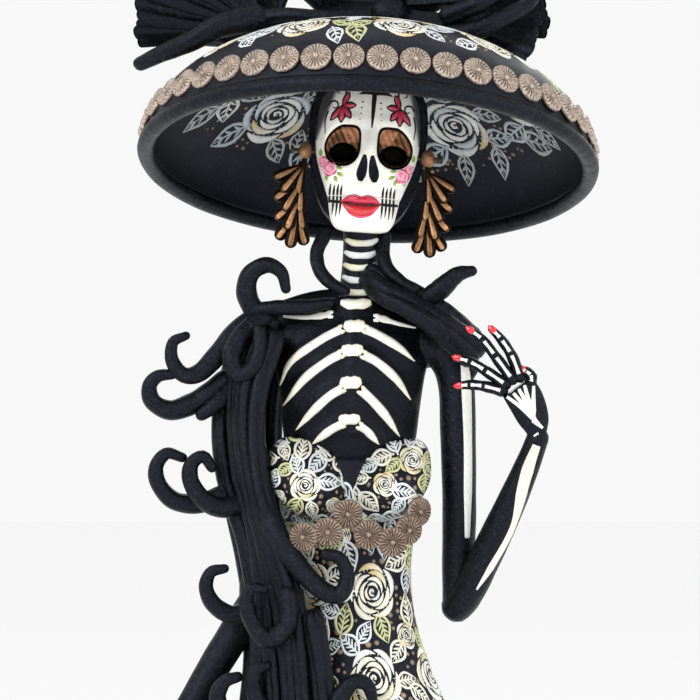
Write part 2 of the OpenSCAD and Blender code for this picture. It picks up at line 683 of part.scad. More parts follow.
module rolled_petals() {
  color(clayColour) translate(flowerLift) {
    curl([[-84, -9, 497], [-74, -15, 501], [-63, -20, 505], [-51, -22, 511], [-38, -21, 513.6]], 3.2, 5.6);
    curl([[-42, -16, 512], [-28, -22, 514], [-12, -25, 512.6], [2, -24, 511]], 4.4, 3);
    curl([[36, -20, 507], [48, -24, 508.6], [60, -23, 514], [70, -19, 520], [74, -16, 526.6]], 4.4, 2);
    curl([[38, -22, 515], [50, -25, 519], [59, -24, 525.4], [62, -22, 534]], 4, 2);
  }
}

module calla_petals() {
  color(clayColour) translate(flowerLift) {
    translate([14, -3, 520]) rotate([-14, 0, 0]) fan(60, 175, 4, 42, 1, 0.5, -9, 3, 4, 12);
    translate([18, -9, 520]) rotate([-14, 0, 0]) fan(0, 92, 4, 42, 1, 0.5, -9, 3, 4, 12);
    translate([12, -15, 518]) rotate([-30, 0, 0]) fan(182, 250, 4, 30, 1, 0.5, -3, 3, 4, 10);
    translate([20, -15, 518]) rotate([-30, 0, 0]) fan(-60, -6, 4, 30, 1, 0.5, -3, 3, 4, 10);
  }
}

module calla_button() {
  color(clayColour) translate([14.4, -17, 519.4]) scale([1, 0.8, 0.9]) sphere(r = 7.2, $fn = 24);
}

module curled_petals() {
  color(clayColour) translate(flowerLift) {
    translate([42, -9, 514]) rotate([-18, 0, 0]) fan(-40, 60, 5, 34, 4, 1.2, -6, 3, 4, 14);
    translate([40, 4, 514]) rotate([-18, 0, 0]) fan(-12, 84, 5, 40, 5, 1.2, -6, 3, 4, 14);
  }
}

module plumes() {
  color(clayColour) translate(flowerLift) {
    translate([-6, 10, 512]) rotate([4, 0, 0]) fan(62, 138, 8, 58, 6, 1.6, 2, 3.4, 4, 16);
    translate([20, 19, 512]) rotate([4, 0, 0]) fan(30, 112, 8, 58, 6, 1.6, 2, 3.4, 4, 16);
    translate([6, 28, 510]) rotate([4, 0, 0]) fan(40, 140, 8, 52, 6, 1.6, 2, 3.4, 4, 16);
  }
}

module earringBead(s) {
  inHead() translate([s * 24.6, -3, -2]) difference() {
    sphere(r = beadRadius, $fn = 28);
    rotate([0, 90, 0]) cylinder(r = pinRadius + pinGap, h = 20, center = true, $fn = 24);
  }
}

module earringLeaves(s) {
  inHead() translate([s * 24.6, -3, -2]) {
    strand([[0, 0, -2.8], [s * 0.5, 0, -12], [s * 1.2, 0, -20], [s * 1.6, 0, -27]],
      1.3, 1.4, 1.2, [0, 1, 0], 8, 3);
    for (i = [0 : leafCount - 1])
      let (row = floor(i / 3), k = i % 3, th = s * (8 - row * 9 + k * 27), l = k == 1 ? 13 : 12)
      let (fy = k == 1 ? -3.4 : -1, b = [s * (0.3 + row * 0.42), -0.3, -6 - row * 6.6])
      let (d = [sin(th), 0, -cos(th)])
      strand([b, b + d * l * 0.5 + [0, fy * 0.7, 0], b + d * l + [0, fy, 0]], 0.9, 2.4, 1.7, [0, 1, 0], 8, 4);
  }
}

module earring_bead_right() {
  color(bronzeColour) earringBead(-1);
}

module earring_leaves_right() {
  color(bronzeColour) earringLeaves(-1);
}

module earring_bead_left() {
  color(bronzeColour) earringBead(1);
}

module earring_leaves_left() {
  color(bronzeColour) earringLeaves(1);
}

base_board();
spine_rod();
skirt_shell();
hem_roll();
bodice();
bust_cup_right();
bust_cup_left();
belt_rosettes();
torso();
ribs();
breastbone();
collar_bones();
neck();
neck_bands();
skull();
lower_jaw();
lips();
eye_sockets();
nose_marks();
hair_cap();
hat_seat();
ear_pins();
upper_arm_left();
forearm_left();
hand_left();
fingers_left();
nails_left();
arm_wire_left();
upper_arm_right();
forearm_right();
hand_right();
fingers_right();
nails_right();
arm_wire_right();
scarf_shoulder_wrap();
scarf_neck_loops();
scarf_top_hook();
scarf_upper_curls();
scarf_middle_curls();
scarf_lower_curls();
scarf_front_strand();
scarf_long_strands();
scarf_back_strands();
hat_peg();
hat_bowl();
hat_lip();
hat_crown();
hat_socket();
brim_rosettes();
fan_leaves();
rolled_petals();
calla_petals();
calla_button();
curled_petals();
plumes();
earring_bead_right();
earring_leaves_right();
earring_bead_left();
earring_leaves_left();
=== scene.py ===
import math
import bpy
import numpy as np
from mathutils import Matrix, Vector
from mathutils.bvhtree import BVHTree


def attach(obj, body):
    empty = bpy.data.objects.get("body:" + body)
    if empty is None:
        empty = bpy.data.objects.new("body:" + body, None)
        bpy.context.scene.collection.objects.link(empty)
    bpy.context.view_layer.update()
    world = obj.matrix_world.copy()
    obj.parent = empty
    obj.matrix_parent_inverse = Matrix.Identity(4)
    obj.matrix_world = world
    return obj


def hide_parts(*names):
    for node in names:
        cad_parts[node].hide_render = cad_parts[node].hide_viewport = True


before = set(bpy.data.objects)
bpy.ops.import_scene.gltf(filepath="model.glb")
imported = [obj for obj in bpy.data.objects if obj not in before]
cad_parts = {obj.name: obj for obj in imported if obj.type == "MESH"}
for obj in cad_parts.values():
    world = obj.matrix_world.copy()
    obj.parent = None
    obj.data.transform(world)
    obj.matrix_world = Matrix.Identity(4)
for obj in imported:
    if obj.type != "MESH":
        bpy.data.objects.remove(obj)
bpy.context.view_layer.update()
mm = 0.001  # the places below are in millimetres, as in the part's own drawing
scene = bpy.context.scene
print("frame loaded")

# camera, light and floor
camera = dict(at=(-0.8, -1300, 386), lens=167.0)
cam = bpy.data.objects.new("viewCamera", bpy.data.cameras.new("viewCamera"))
cam.data.lens = camera["lens"]
cam.data.clip_end = 20
cam.location = Vector(camera["at"]) * mm
cam.rotation_euler = (math.radians(90), 0, 0)
scene.collection.objects.link(cam)
scene.camera = cam


def softBox(name, at, look, size, power):
    light = bpy.data.lights.new(name, "AREA")
    light.shape, light.size, light.energy = "SQUARE", size, power
    ob = bpy.data.objects.new(name, light)
    ob.location = at
    ob.rotation_euler = (Vector(look) - Vector(at)).to_track_quat("-Z", "Y").to_euler()
    scene.collection.objects.link(ob)


softBox("keyLight", (-0.9, -1.1, 1.15), (0, 0, 0.40), 0.6, 15)
softBox("fillLight", (1.2, -0.9, 0.7), (0, 0, 0.38), 0.8, 7)
softBox("underFill", (0.1, -1.2, 0.05), (0, 0, 0.44), 0.8, 2.5)
softBox("backLight", (0.2, 1.2, 1.0), (0, 0, 0.45), 1.0, 9)
world = bpy.data.worlds.new("studio")
world.use_nodes = True
world.node_tree.nodes["Background"].inputs["Color"].default_value = (1.0, 1.0, 1.0, 1)
world.node_tree.nodes["Background"].inputs["Strength"].default_value = 0.94
scene.world = world
scene.view_settings.view_transform = "Standard"


def sRgb(r, g, b):
    f = lambda c: c / 3294.6 if c <= 10.3 else ((c / 255 + 0.055) / 1.055) ** 2.4
    return (f(r), f(g), f(b), 1.0)


# shader groups shared by the finishes
def newGroup(name, inputs, outputs):
    tree = bpy.data.node_groups.new(name, "ShaderNodeTree")
    for label, kind, value in inputs:
        s = tree.interface.new_socket(label, in_out="INPUT", socket_type=kind)
        if value is not None:
            s.default_value = value
    for label, kind in outputs:
        tree.interface.new_socket(label, in_out="OUTPUT", socket_type=kind)
    return tree, tree.nodes.new("NodeGroupInput"), tree.nodes.new("NodeGroupOutput")


def join(source, output, target, place):
    source.id_data.links.new(source.outputs[output], target.inputs[place])


def node(tree, kind, **values):
    n = tree.nodes.new(kind)
    for key, value in values.items():
        if hasattr(n, key):
            setattr(n, key, value)
        else:
            n.inputs[key].default_value = value
    return n


def makeClayGrain():
    # hand-worked clay: fine grain, finger marks and pale dust on what stands out
    tree, gin, gout = newGroup(
        "clayGrain",
        [("Grain Scale", "NodeSocketFloat", 900.0), ("Wave Scale", "NodeSocketFloat", 120.0)],
        [("Height", "NodeSocketFloat"), ("Dust", "NodeSocketFloat")],
    )
    coord = tree.nodes.new("ShaderNodeTexCoord")
    fine = node(tree, "ShaderNodeTexNoise", Detail=4.0, Roughness=0.65)
    broad = node(tree, "ShaderNodeTexNoise", Detail=2.0, Roughness=0.5)
    join(coord, "Object", fine, "Vector")
    join(coord, "Object", broad, "Vector")
    join(gin, "Grain Scale", fine, "Scale")
    join(gin, "Wave Scale", broad, "Scale")
    both = node(tree, "ShaderNodeMath", operation="MULTIPLY_ADD")
    join(fine, "Fac", both, 0)
    both.inputs[1].default_value = 0.45
    join(broad, "Fac", both, 2)
    join(both, 0, gout, "Height")
    ramp = node(tree, "ShaderNodeMapRange")
    ramp.inputs["From Min"].default_value = 0.52
    ramp.inputs["From Max"].default_value = 0.72
    join(fine, "Fac", ramp, "Value")
    join(ramp, "Result", gout, "Dust")
    return tree


def makeBristles():
    # streaks that a loaded brush leaves along each stroke, from the stroke's own "brush" coordinates
    tree, gin, gout = newGroup(
        "bristles", [("Bristles", "NodeSocketFloat", 7.0)], [("Streak", "NodeSocketFloat")]
    )
    brush = node(tree, "ShaderNodeAttribute", attribute_name="brush")
    scale = node(tree, "ShaderNodeCombineXYZ", X=1.6, Z=1.0)
    join(gin, "Bristles", scale, "Y")
    mult = node(tree, "ShaderNodeVectorMath", operation="MULTIPLY")
    join(brush, "Vector", mult, 0)
    join(scale, 0, mult, 1)
    noise = node(tree, "ShaderNodeTexNoise", Scale=1.0, Detail=3.0, Roughness=0.6)
    join(mult, 0, noise, "Vector")
    join(noise, "Fac", gout, "Streak")
    return tree


clayGrain = makeClayGrain()
bristles = makeBristles()


def newMaterial(name, rough, specular=0.5, metal=0.0, coat=0.0):
    m = bpy.data.materials.new(name)
    m.use_nodes = True
    shader = m.node_tree.nodes["Principled BSDF"]
    shader.inputs["Roughness"].default_value = rough
    shader.inputs["Specular IOR Level"].default_value = specular
    shader.inputs["Metallic"].default_value = metal
    shader.inputs["Coat Weight"].default_value = coat
    return m, m.node_tree, shader


def clayMaterial(name, colour, dusty, rough, bump, metal=0.0, tinted=False, grain=900.0, spec=0.5,
        sheen=None, depth=0.0004):
    # colour is the clay, dusty the paler tone on grains and ridges; tinted reads the piece's tint, which
    # holds its colour and, on grooved pieces, painted shade in the hollows
    m, tree, shader = newMaterial(name, rough, spec, metal)
    if sheen is not None:
        shader.inputs["Specular Tint"].default_value = sheen
    grainNode = node(tree, "ShaderNodeGroup", node_tree=clayGrain)
    grainNode.inputs["Grain Scale"].default_value = grain
    mixColour = node(tree, "ShaderNodeMix", data_type="RGBA")
    mixColour.inputs[6].default_value = colour
    mixColour.inputs[7].default_value = dusty
    join(grainNode, "Dust", mixColour, 0)
    out = mixColour.outputs[2]
    if tinted:
        tint = node(tree, "ShaderNodeAttribute", attribute_name="tint")
        times = node(tree, "ShaderNodeMix", data_type="RGBA", blend_type="MULTIPLY")
        times.inputs[0].default_value = 1.0
        tree.links.new(out, times.inputs[6])
        join(tint, "Color", times, 7)
        out = times.outputs[2]
    tree.links.new(out, shader.inputs["Base Color"])
    roughMap = node(tree, "ShaderNodeMapRange")
    roughMap.inputs["To Min"].default_value = rough - 0.1
    roughMap.inputs["To Max"].default_value = rough + 0.12
    join(grainNode, "Height", roughMap, "Value")
    join(roughMap, "Result", shader, "Roughness")
    bumpNode = node(tree, "ShaderNodeBump", Strength=bump, Distance=depth)
    join(grainNode, "Height", bumpNode, "Height")
    join(bumpNode, "Normal", shader, "Normal")
    return m


def brushPaint(name, rough, coat=0.0, thin=0.35, spec=0.34):
    # paint laid in strokes: the stroke's own tint, darker where the brush ran dry
    m, tree, shader = newMaterial(name, rough, spec, 0.0, coat)
    tint = node(tree, "ShaderNodeAttribute", attribute_name="tint")
    streak = node(tree, "ShaderNodeGroup", node_tree=bristles)
    amount = node(tree, "ShaderNodeMapRange")
    amount.inputs["From Min"].default_value = 0.42
    amount.inputs["From Max"].default_value = 0.70
    amount.inputs["To Max"].default_value = thin
    join(streak, "Streak", amount, "Value")
    dark = node(tree, "ShaderNodeMix", data_type="RGBA", blend_type="MULTIPLY")
    dark.inputs[7].default_value = (0.2, 0.19, 0.18, 1)
    join(amount, "Result", dark, 0)
    join(tint, "Color", dark, 6)
    join(dark, 2, shader, "Base Color")
    roughMap = node(tree, "ShaderNodeMapRange")
    roughMap.inputs["To Min"].default_value = rough - 0.08
    roughMap.inputs["To Max"].default_value = rough + 0.15
    join(streak, "Streak", roughMap, "Value")
    join(roughMap, "Result", shader, "Roughness")
    bumpNode = node(tree, "ShaderNodeBump", Strength=0.25, Distance=0.0002)
    join(streak, "Streak", bumpNode, "Height")
    join(bumpNode, "Normal", shader, "Normal")
    return m


blackClay = clayMaterial("blackClay", sRgb(5, 6, 8), sRgb(33, 35, 43), 0.36, 1.0, tinted=True, grain=700.0,
    spec=0.2, sheen=sRgb(214, 226, 255), depth=0.0009)
charcoalGround = clayMaterial("charcoalGround", sRgb(13, 13, 18), sRgb(30, 31, 40), 0.44, 0.4, grain=500.0,
    spec=0.22, sheen=sRgb(214, 224, 255))
boneGround = clayMaterial("boneGround", sRgb(238, 237, 230), sRgb(226, 222, 208), 0.34, 0.12, tinted=True,
    grain=260.0)
champagneClay = clayMaterial("champagneClay", sRgb(200, 182, 168), sRgb(30, 24, 20), 0.28, 1.0, 0.66, True,
    1150.0, 0.3, depth=0.0016)
copperClay = clayMaterial("copperClay", sRgb(158, 137, 123), sRgb(24, 18, 15), 0.26, 1.0, 0.74, True,
    1000.0, 0.25, depth=0.0014)
bronzeClay = clayMaterial("bronzeClay", sRgb(166, 128, 97), sRgb(62, 42, 29), 0.28, 0.8, 0.72, True, 1100.0,
    0.06, depth=0.0006)
strokePaint = brushPaint("strokePaint", 0.42)
facePaint = brushPaint("facePaint", 0.4, 0.0, 0.2, 0.2)
lipPaint = brushPaint("lipPaint", 0.22, 0.5, 0.06, 0.45)
wireMetal = clayMaterial("wireMetal", sRgb(150, 150, 152), sRgb(120, 118, 116), 0.38, 0.1, 0.9)
brassWire = clayMaterial("brassWire", sRgb(62, 50, 38), sRgb(40, 32, 26), 0.42, 0.1, 0.7)
paleWood = clayMaterial("paleWood", sRgb(190, 150, 104), sRgb(160, 120, 80), 0.6, 0.3, grain=300.0)
stainedWood = clayMaterial("stainedWood", sRgb(46, 36, 29), sRgb(26, 20, 17), 0.6, 0.4, grain=300.0)
floorPaint = clayMaterial("floorPaint", sRgb(252, 252, 252), sRgb(250, 250, 250), 0.9, 0.02)
print("finishes mixed")


# mesh helpers, in millimetres
class Build:
    # gathers shells with a material each, a tint and brush coordinates for every point
    def __init__(self, name):
        self.name, self.verts, self.faces, self.mats, self.tints, self.brush = name, [], [], [], [], []
        self.count = 0

    def add(self, verts, faces, mat=0, tint=(1, 1, 1, 1), brush=None):
        verts = np.asarray(verts, float).reshape(-1, 3)
        tint = np.asarray(tint, float)
        if tint.ndim == 1:
            tint = np.tile(tint, (len(verts), 1))
        self.verts.append(verts)
        self.tints.append(tint.reshape(-1, 4))
        self.brush.append(np.zeros((len(verts), 3)) if brush is None
            else np.asarray(brush, float).reshape(-1, 3))
        self.faces += [[i + self.count for i in f] for f in faces]
        self.mats += [mat] * len(faces)
        self.count += len(verts)

    def mesh(self):
        me = bpy.data.meshes.new(self.name)
        me.from_pydata(np.concatenate(self.verts) * mm, [], self.faces)
        me.polygons.foreach_set("material_index", self.mats)
        me.polygons.foreach_set("use_smooth", [True] * len(self.faces))
        col = me.attributes.new("tint", "FLOAT_COLOR", "POINT")
        col.data.foreach_set("color", np.concatenate(self.tints).ravel())
        vec = me.attributes.new("brush", "FLOAT_VECTOR", "POINT")
        vec.data.foreach_set("vector", np.concatenate(self.brush).ravel())
        me.update()
        return me


def hand(ob, body, nodes):
    # the finished piece rides its body and stands for its nodes
    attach(ob, body)
    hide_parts(*nodes)


def place(build, materials, body, nodes, slot):
    ob = bpy.data.objects.new(build.name, build.mesh())
    for m in materials:
        ob.data.materials.append(m)
    scene.collection.objects.link(ob)
    hand(ob, body, nodes)


def placeBlack(build, nodeName, body="figure"):
    place(build, [blackClay], body, [nodeName], "black_clay")


def curvePoints(points, count):
    # an even spline through the points, with count places along it
    p = np.asarray(points, float)
    pad = np.vstack([2 * p[0] - p[1], p, 2 * p[-1] - p[-2]])
    out = []
    for i in range(len(p) - 1):
        a, b, c, d = pad[i : i + 4]
        t = np.linspace(0, 1, 25)[:-1, None]
        out.append(0.5 * (2 * b + (c - a) * t + (2 * a - 5 * b + 4 * c - d) * t**2
            + (3 * b - a - 3 * c + d) * t**3))
    out = np.vstack(out + [p[-1:]])
    along = np.concatenate([[0], np.cumsum(np.linalg.norm(np.diff(out, axis=0), axis=1))])
    at = np.linspace(0, along[-1], count)
    return np.stack([np.interp(at, along, out[:, k]) for k in range(out.shape[1])], 1)


def circle(count):
    return np.arange(count) * 2 * np.pi / count


def greys(tone):
    return np.stack([tone, tone, tone, np.ones_like(tone)], 1)


def ringFaces(rows, cols, loopRows=False):
    f = []
    for i in range(rows if loopRows else rows - 1):
        n = (i + 1) % rows
        for j in range(cols):
            k = (j + 1) % cols
            f.append([i * cols + j, i * cols + k, n * cols + k, n * cols + j])
    return f


def closedSkin(rings):
    # rings of points (rows, cols, 3), counter to the way the rows run, closed by a point at each end
    rows, cols = rings.shape[:2]
    verts = np.vstack([rings.reshape(-1, 3), rings[0].mean(0), rings[-1].mean(0)])
    faces = ringFaces(rows, cols)
    a, b = rows * cols, rows * cols + 1
    faces += [[a, (j + 1) % cols, j] for j in range(cols)]
    faces += [[b, (rows - 1) * cols + j, (rows - 1) * cols + (j + 1) % cols] for j in range(cols)]
    return verts, faces


def sweep(points, radii, sides=14, per=1.6, lobes=0, depth=0.0, twist=0.0, ref=(0, 1, 0), wave=0.0, seed=0):
    # a strand of rolled clay along points: lobes are the grooves pressed along it
    rough = np.asarray(points, float)
    length = np.linalg.norm(np.diff(rough, axis=0), axis=1).sum()
    count = max(8, int(length / per))
    path = curvePoints(points, count)
    r = np.interp(np.linspace(0, 1, count), np.linspace(0, 1, len(radii)), radii)
    tangent = np.gradient(path, axis=0)
    tangent /= np.linalg.norm(tangent, axis=1)[:, None]
    u = np.cross(ref, tangent[0])
    u /= np.linalg.norm(u)
    phi = circle(sides)
    rng = np.random.default_rng(seed)
    wob = rng.normal(0, 1, 6)
    rings, tints = [], []
    for i in range(count):
        t = tangent[i]
        u = u - t * np.dot(u, t)
        u /= np.linalg.norm(u)
        v = np.cross(t, u)
        s = i / (count - 1)
        shape = np.ones(sides)
        grooveAndShade = np.ones(sides)
        if lobes:
            c = np.abs(np.cos((phi + twist * s) * lobes / 2))
            shape = (1 - depth + depth * c**0.55) * (1 - 0.035 * np.abs(np.sin(phi * 6.5 + wob[2])))
            # the tint is painted darker down in each groove: painted shade
            grooveAndShade = 1 - min(0.85, 2.8 * depth) * (1 - c**0.7)
        k = r[i] * (1 + wave * (math.sin(s * 19 + wob[0]) + math.sin(s * 37 + wob[1])) / 2)
        rings.append(path[i] + k * shape[:, None] * (np.cos(phi)[:, None] * u + np.sin(phi)[:, None] * v))
        tints.append(grooveAndShade)
    # rounded ends
    def cap(ring, centre, t, rad):
        return [centre + (ring - centre) * math.cos(a) + t * rad * math.sin(a) for a in (0.45, 0.9, 1.3)]
    start = cap(rings[0], path[0], -tangent[0], r[0])[::-1]
    end = cap(rings[-1], path[-1], tangent[-1], r[-1])
    tints = [tints[0]] * 3 + tints + [tints[-1]] * 3
    verts, faces = closedSkin(np.array(start + rings + end))
    g = np.concatenate([np.array(tints).ravel(), [0.9, 0.9]])
    return verts, faces, 0, greys(g)


def smoothNoise(p, scale, seed):
    # a cheap, smooth bumpiness from a few crossed waves
    rng = np.random.default_rng(seed)
    out = np.zeros(len(p))
    for _ in range(5):
        d = rng.normal(0, 1, 3)
        out += np.sin(p @ d / scale + rng.uniform(0, 6.28))
    return out / 5


def solidTree(build):
    return BVHTree.FromPolygons([tuple(v) for v in np.concatenate(build.verts)], build.faces)


def towards(tree, origin, direction):
    hit = tree.ray_cast(Vector(origin), Vector(direction))
    return (np.array(hit[0]), np.array(hit[1])) if hit[0] is not None else (None, None)


strokeSeed = [0]


def layStroke(build, mapper, points, widths, colour, mat=1, colourEnd=None, rise=0.22, across=3, per=1.5,
        sink=0.35):
    # one brush stroke: a low closed ridge that follows the surface the mapper gives
    pts = np.asarray(points, float)
    length = np.linalg.norm(np.diff(pts, axis=0), axis=1).sum()
    count = max(3, int(length / per) + 2)
    path = curvePoints(pts, count)
    w = np.interp(np.linspace(0, 1, count), np.linspace(0, 1, len(widths)), widths)
    tangent = np.gradient(path, axis=0)
    tangent /= np.maximum(np.linalg.norm(tangent, axis=1), 1e-9)[:, None]
    side = np.stack([-tangent[:, 1], tangent[:, 0]], 1)
    offs = np.linspace(-1, 1, across)
    top, brush, tint = [], [], []
    strokeSeed[0] += 1
    colour = np.array(colour)
    colourEnd = colour if colourEnd is None else np.array(colourEnd)
    for i in range(count):
        rowTop, rowBottom = [], []
        for o in offs:
            p = path[i] + side[i] * o * w[i]
            at, normal = mapper(p[0], p[1])
            if at is None:
                break
            rowTop.append(at + normal * (0.06 + (rise - 0.06) * (1 - o * o)))
            rowBottom.append(at - normal * sink)
        if len(rowTop) < across:
            # off the edge of the surface: wait for it to begin, or stop where it ends
            if top:
                break
            continue
        ring = rowTop + rowBottom[::-1]
        top.append(ring)
        k = len(ring)
        brush += [(length * i / count * 0.35, (offs[min(j, k - 1 - j)]) * max(w[i], 0.4),
            strokeSeed[0] * 1.7) for j in range(k)]
        tint += [colour + (colourEnd - colour) * i / (count - 1)] * k
    if len(top) < 3:
        return
    rings = np.array(top)
    count, n = rings.shape[:2]
    # the surface's own side decides which way round the ridge faces
    faces = [f[::-1] for f in ringFaces(count, n)]
    cap = list(range(n))
    faces += [cap, [(count - 1) * n + j for j in reversed(cap)]]
    centre = rings[0, : across].mean(0) - rings[0, across:].mean(0)
    a, b, c = rings[0, 0], rings[0, 1], rings[1, 0]
    if np.dot(np.cross(b - a, c - a), centre) < 0:
        faces = [f[::-1] for f in faces]
    build.add(rings.reshape(-1, 3), faces, mat, np.array(tint), brush)


# painted roses, leaves and dots
greyWhite, paleLeaf = sRgb(206, 210, 208), sRgb(168, 174, 174)
creamWhite, ochre, taupe = sRgb(236, 232, 214), sRgb(176, 138, 86), sRgb(140, 122, 106)
hatTones = dict(petal=[greyWhite, sRgb(224, 226, 222), sRgb(186, 194, 200)], heart=ochre,
    leaf=[paleLeaf, greyWhite, sRgb(176, 184, 190)], deep=sRgb(120, 128, 136), line=0.045, gap=0.32,
    warm=0.18)
gownTones = dict(petal=[creamWhite, sRgb(226, 228, 222), sRgb(218, 214, 190)], heart=ochre,
    leaf=[sRgb(222, 228, 230), sRgb(206, 214, 218), sRgb(228, 226, 212), sRgb(196, 200, 152)],
    deep=sRgb(150, 152, 136), line=0.043, gap=0.3, warm=0.3)


def rose(build, mapper, cx, cy, size, turn, rng, tones, per=1.5):
    # a heart and four rows of crescent petals, each drawn a little outward so that the ground shows between
    def polar(r, a):
        return (cx + size * r * math.cos(a), cy + size * r * math.sin(a))
    layStroke(build, mapper, [polar(0.02 + 0.13 * i / 7, turn + i * 0.95) for i in range(8)],
        [0.035 * size, 0.05 * size, 0.03 * size], tones["petal"][1], per=per * 0.6)
    layStroke(build, mapper, [polar(0.04, turn), polar(0.04, turn + 3)], [0.035 * size, 0.035 * size],
        tones["heart"], rise=0.3, per=per * 0.5)
    for count, r, span, w, streaks in ((3, 0.29, 2.05, 0.052, 0), (3, 0.47, 2.1, 0.07, 0),
            (4, 0.69, 1.62, 0.088, 4), (5, 0.93, 1.34, 0.095, 5)):
        start = turn + rng.uniform(0, 6)
        for k in range(count):
            mid = start + k * 2 * math.pi / count
            tone = tones["petal"][rng.choice([0, 0, 1, 1, 2] if count > 3 else [0, 1])]
            arc = [polar(r * (0.88 + 0.13 * i / 6 + 0.05 * math.sin(math.pi * i / 6)),
                mid + (i / 6 * 2 - 1) * span / 2) for i in range(7)]
            warm = sRgb(206, 176, 112) if count > 3 and rng.random() < tones["warm"] else None
            layStroke(build, mapper, arc, [0.012 * size, w * 0.8 * size, w * 1.25 * size, w * size,
                0.02 * size], tone, colourEnd=warm, per=per)
            for j in range(streaks):
                a = mid + (j / (streaks - 1) - 0.5) * span * 0.66
                layStroke(build, mapper,
                    [polar(r * 0.93, a), polar(r * rng.uniform(0.79, 0.83), a + rng.uniform(-0.05, 0.05))],
                    [0.028 * size, 0.006 * size], tone, colourEnd=tones["deep"], per=per * 1.4)


def paintedLeaf(build, mapper, x, y, angle, length, width, tone, veins=3, per=1.5, line=0.05):
    ca, sa = math.cos(angle), math.sin(angle)

    def at(s, o):
        return (x + ca * s * length - sa * o * width, y + sa * s * length + ca * o * width)
    line *= length
    for side in (-1, 1):
        edge = [at(0, 0), at(0.22, 0.36 * side), at(0.5, 0.47 * side), at(0.8, 0.24 * side), at(1.02, 0)]
        layStroke(build, mapper, edge, [line * 0.7, line * 1.25, line * 1.1, line * 0.3], tone, per=per)
        for k in range(veins):
            s = 0.16 + 0.52 * k / max(1, veins - 1)
            layStroke(build, mapper,
                [at(s, 0), at(s + 0.12, 0.15 * side), at(s + 0.2, 0.32 * side * (1.1 - s * 0.6))],
                [line * 0.5, line * 0.95, line * 0.4], tone, per=per * 1.3)
    layStroke(build, mapper, [at(-0.12, 0.04), at(0.5, 0.02), at(0.92, 0)],
        [line * 0.8, line * 0.8, line * 0.2], tone, per=per * 1.5)


def layDot(build, mapper, x, y, r, colour):
    at, normal = mapper(x, y)
    if at is None:
        return
    u = np.cross(normal, (0.3, 0.5, 0.81))
    u /= np.linalg.norm(u)
    v = np.cross(normal, u)
    ring = [at + normal * 0.03 + r * (math.cos(a) * u + math.sin(a) * v) for a in circle(7)]
    verts = np.array([at + normal * 0.2, at - normal * 0.4] + ring)
    faces = [[0, 2 + i, 2 + (i + 1) % 7] for i in range(7)] + [[1, 2 + (i + 1) % 7, 2 + i]
        for i in range(7)]
    build.add(verts, faces, 1, colour)


def strew(build, sample, local, offset, roses, rng, tones, leaf, tries, dots, per, veins=3,
        dotSizes=(0.5, 0.95)):
    # paints the roses, then packs leaves and taupe dots into whatever ground is still bare
    keep = []
    for a, b, size in roses:
        m, u, v = local(a, b)
        rose(build, m, u, v, size, rng.uniform(0, 6), rng, tones, per)
        keep.append((a, b, size * 1.03))
    for k in range(tries + dots):
        a, b = sample(rng)
        spots = np.array(keep)
        dx, dy = offset(a, b, spots)
        free = np.hypot(dx, dy) - spots[:, 2]
        near = free.argmin()
        m, u, v = local(a, b)
        if k < tries:
            length = leaf * rng.uniform(0.74, 1.12)
            if free[near] > length * tones["gap"]:
                angle = math.atan2(dy[near], dx[near]) + rng.uniform(-0.6, 0.6)
                tone = tones["leaf"][rng.integers(len(tones["leaf"]))]
                paintedLeaf(build, m, u - math.cos(angle) * length / 2, v - math.sin(angle) * length / 2,
                    angle, length, length * 0.66, tone, veins, per, tones["line"])
                keep.append((a, b, length * 0.35))
        else:
            r = rng.uniform(*dotSizes)
            if free[near] > r * 0.8:
                layDot(build, m, u, v, r, taupe if rng.random() < 0.85 else sRgb(168, 142, 112))
                keep.append((a, b, r * 1.15))


def flatOffset(u, v, spots):
    return u - spots[:, 0], v - spots[:, 1]


def strewRound(build, tree, cx, radiusAt, zs, roses, rng, tones, leaf, tries, dots, per, veins=3,
        dotSizes=(0.7, 1.45)):
    # the same round an upright body: the flat places are an angle and a height
    def offset(a, b, spots):
        turn = (a - spots[:, 0] + np.pi) % (2 * np.pi) - np.pi
        return turn * radiusAt(b), b - spots[:, 1]
    sample = lambda g: (g.uniform(0, 2 * np.pi), g.uniform(*zs))
    local = lambda a, b: (around(tree, cx, a, radiusAt(b)), 0, b)
    strew(build, sample, local, offset, roses, rng, tones, leaf, tries, dots, per, veins, dotSizes)


# gown: hollow skirt, bodice, hem and base
gown = dict(depth=0.92, wall=5.0, centre=1.0, across=96,
    profile=[(7, 71), (16, 68), (34, 58), (56, 48), (82, 39), (108, 33.5), (130, 31), (155, 32), (185, 36),
    (212, 39), (237, 38)], roseTop=219.0, roseLow=24, roseStep=31, rose=10.5, hemRose=12.5, hemBelow=60,
    apart=3.3, painted=(19, 236), leaf=14.8)
bodiceOvals = [(235.8, 38, 35, 1, 0), (246, 35.2, 31, 1.6, 0), (258, 30, 25.6, 2, 0), (272, 25, 21, 2, 0),
    (286, 22.6, 19, 1.6, 0), (300, 22.6, 18.5, 1, 0), (312, 25, 18.5, 0, 0), (324, 28, 18.5, -0.8, 0),
    (336, 27.5, 17.5, -1, 0), (343, 24, 15, -1, 0)]


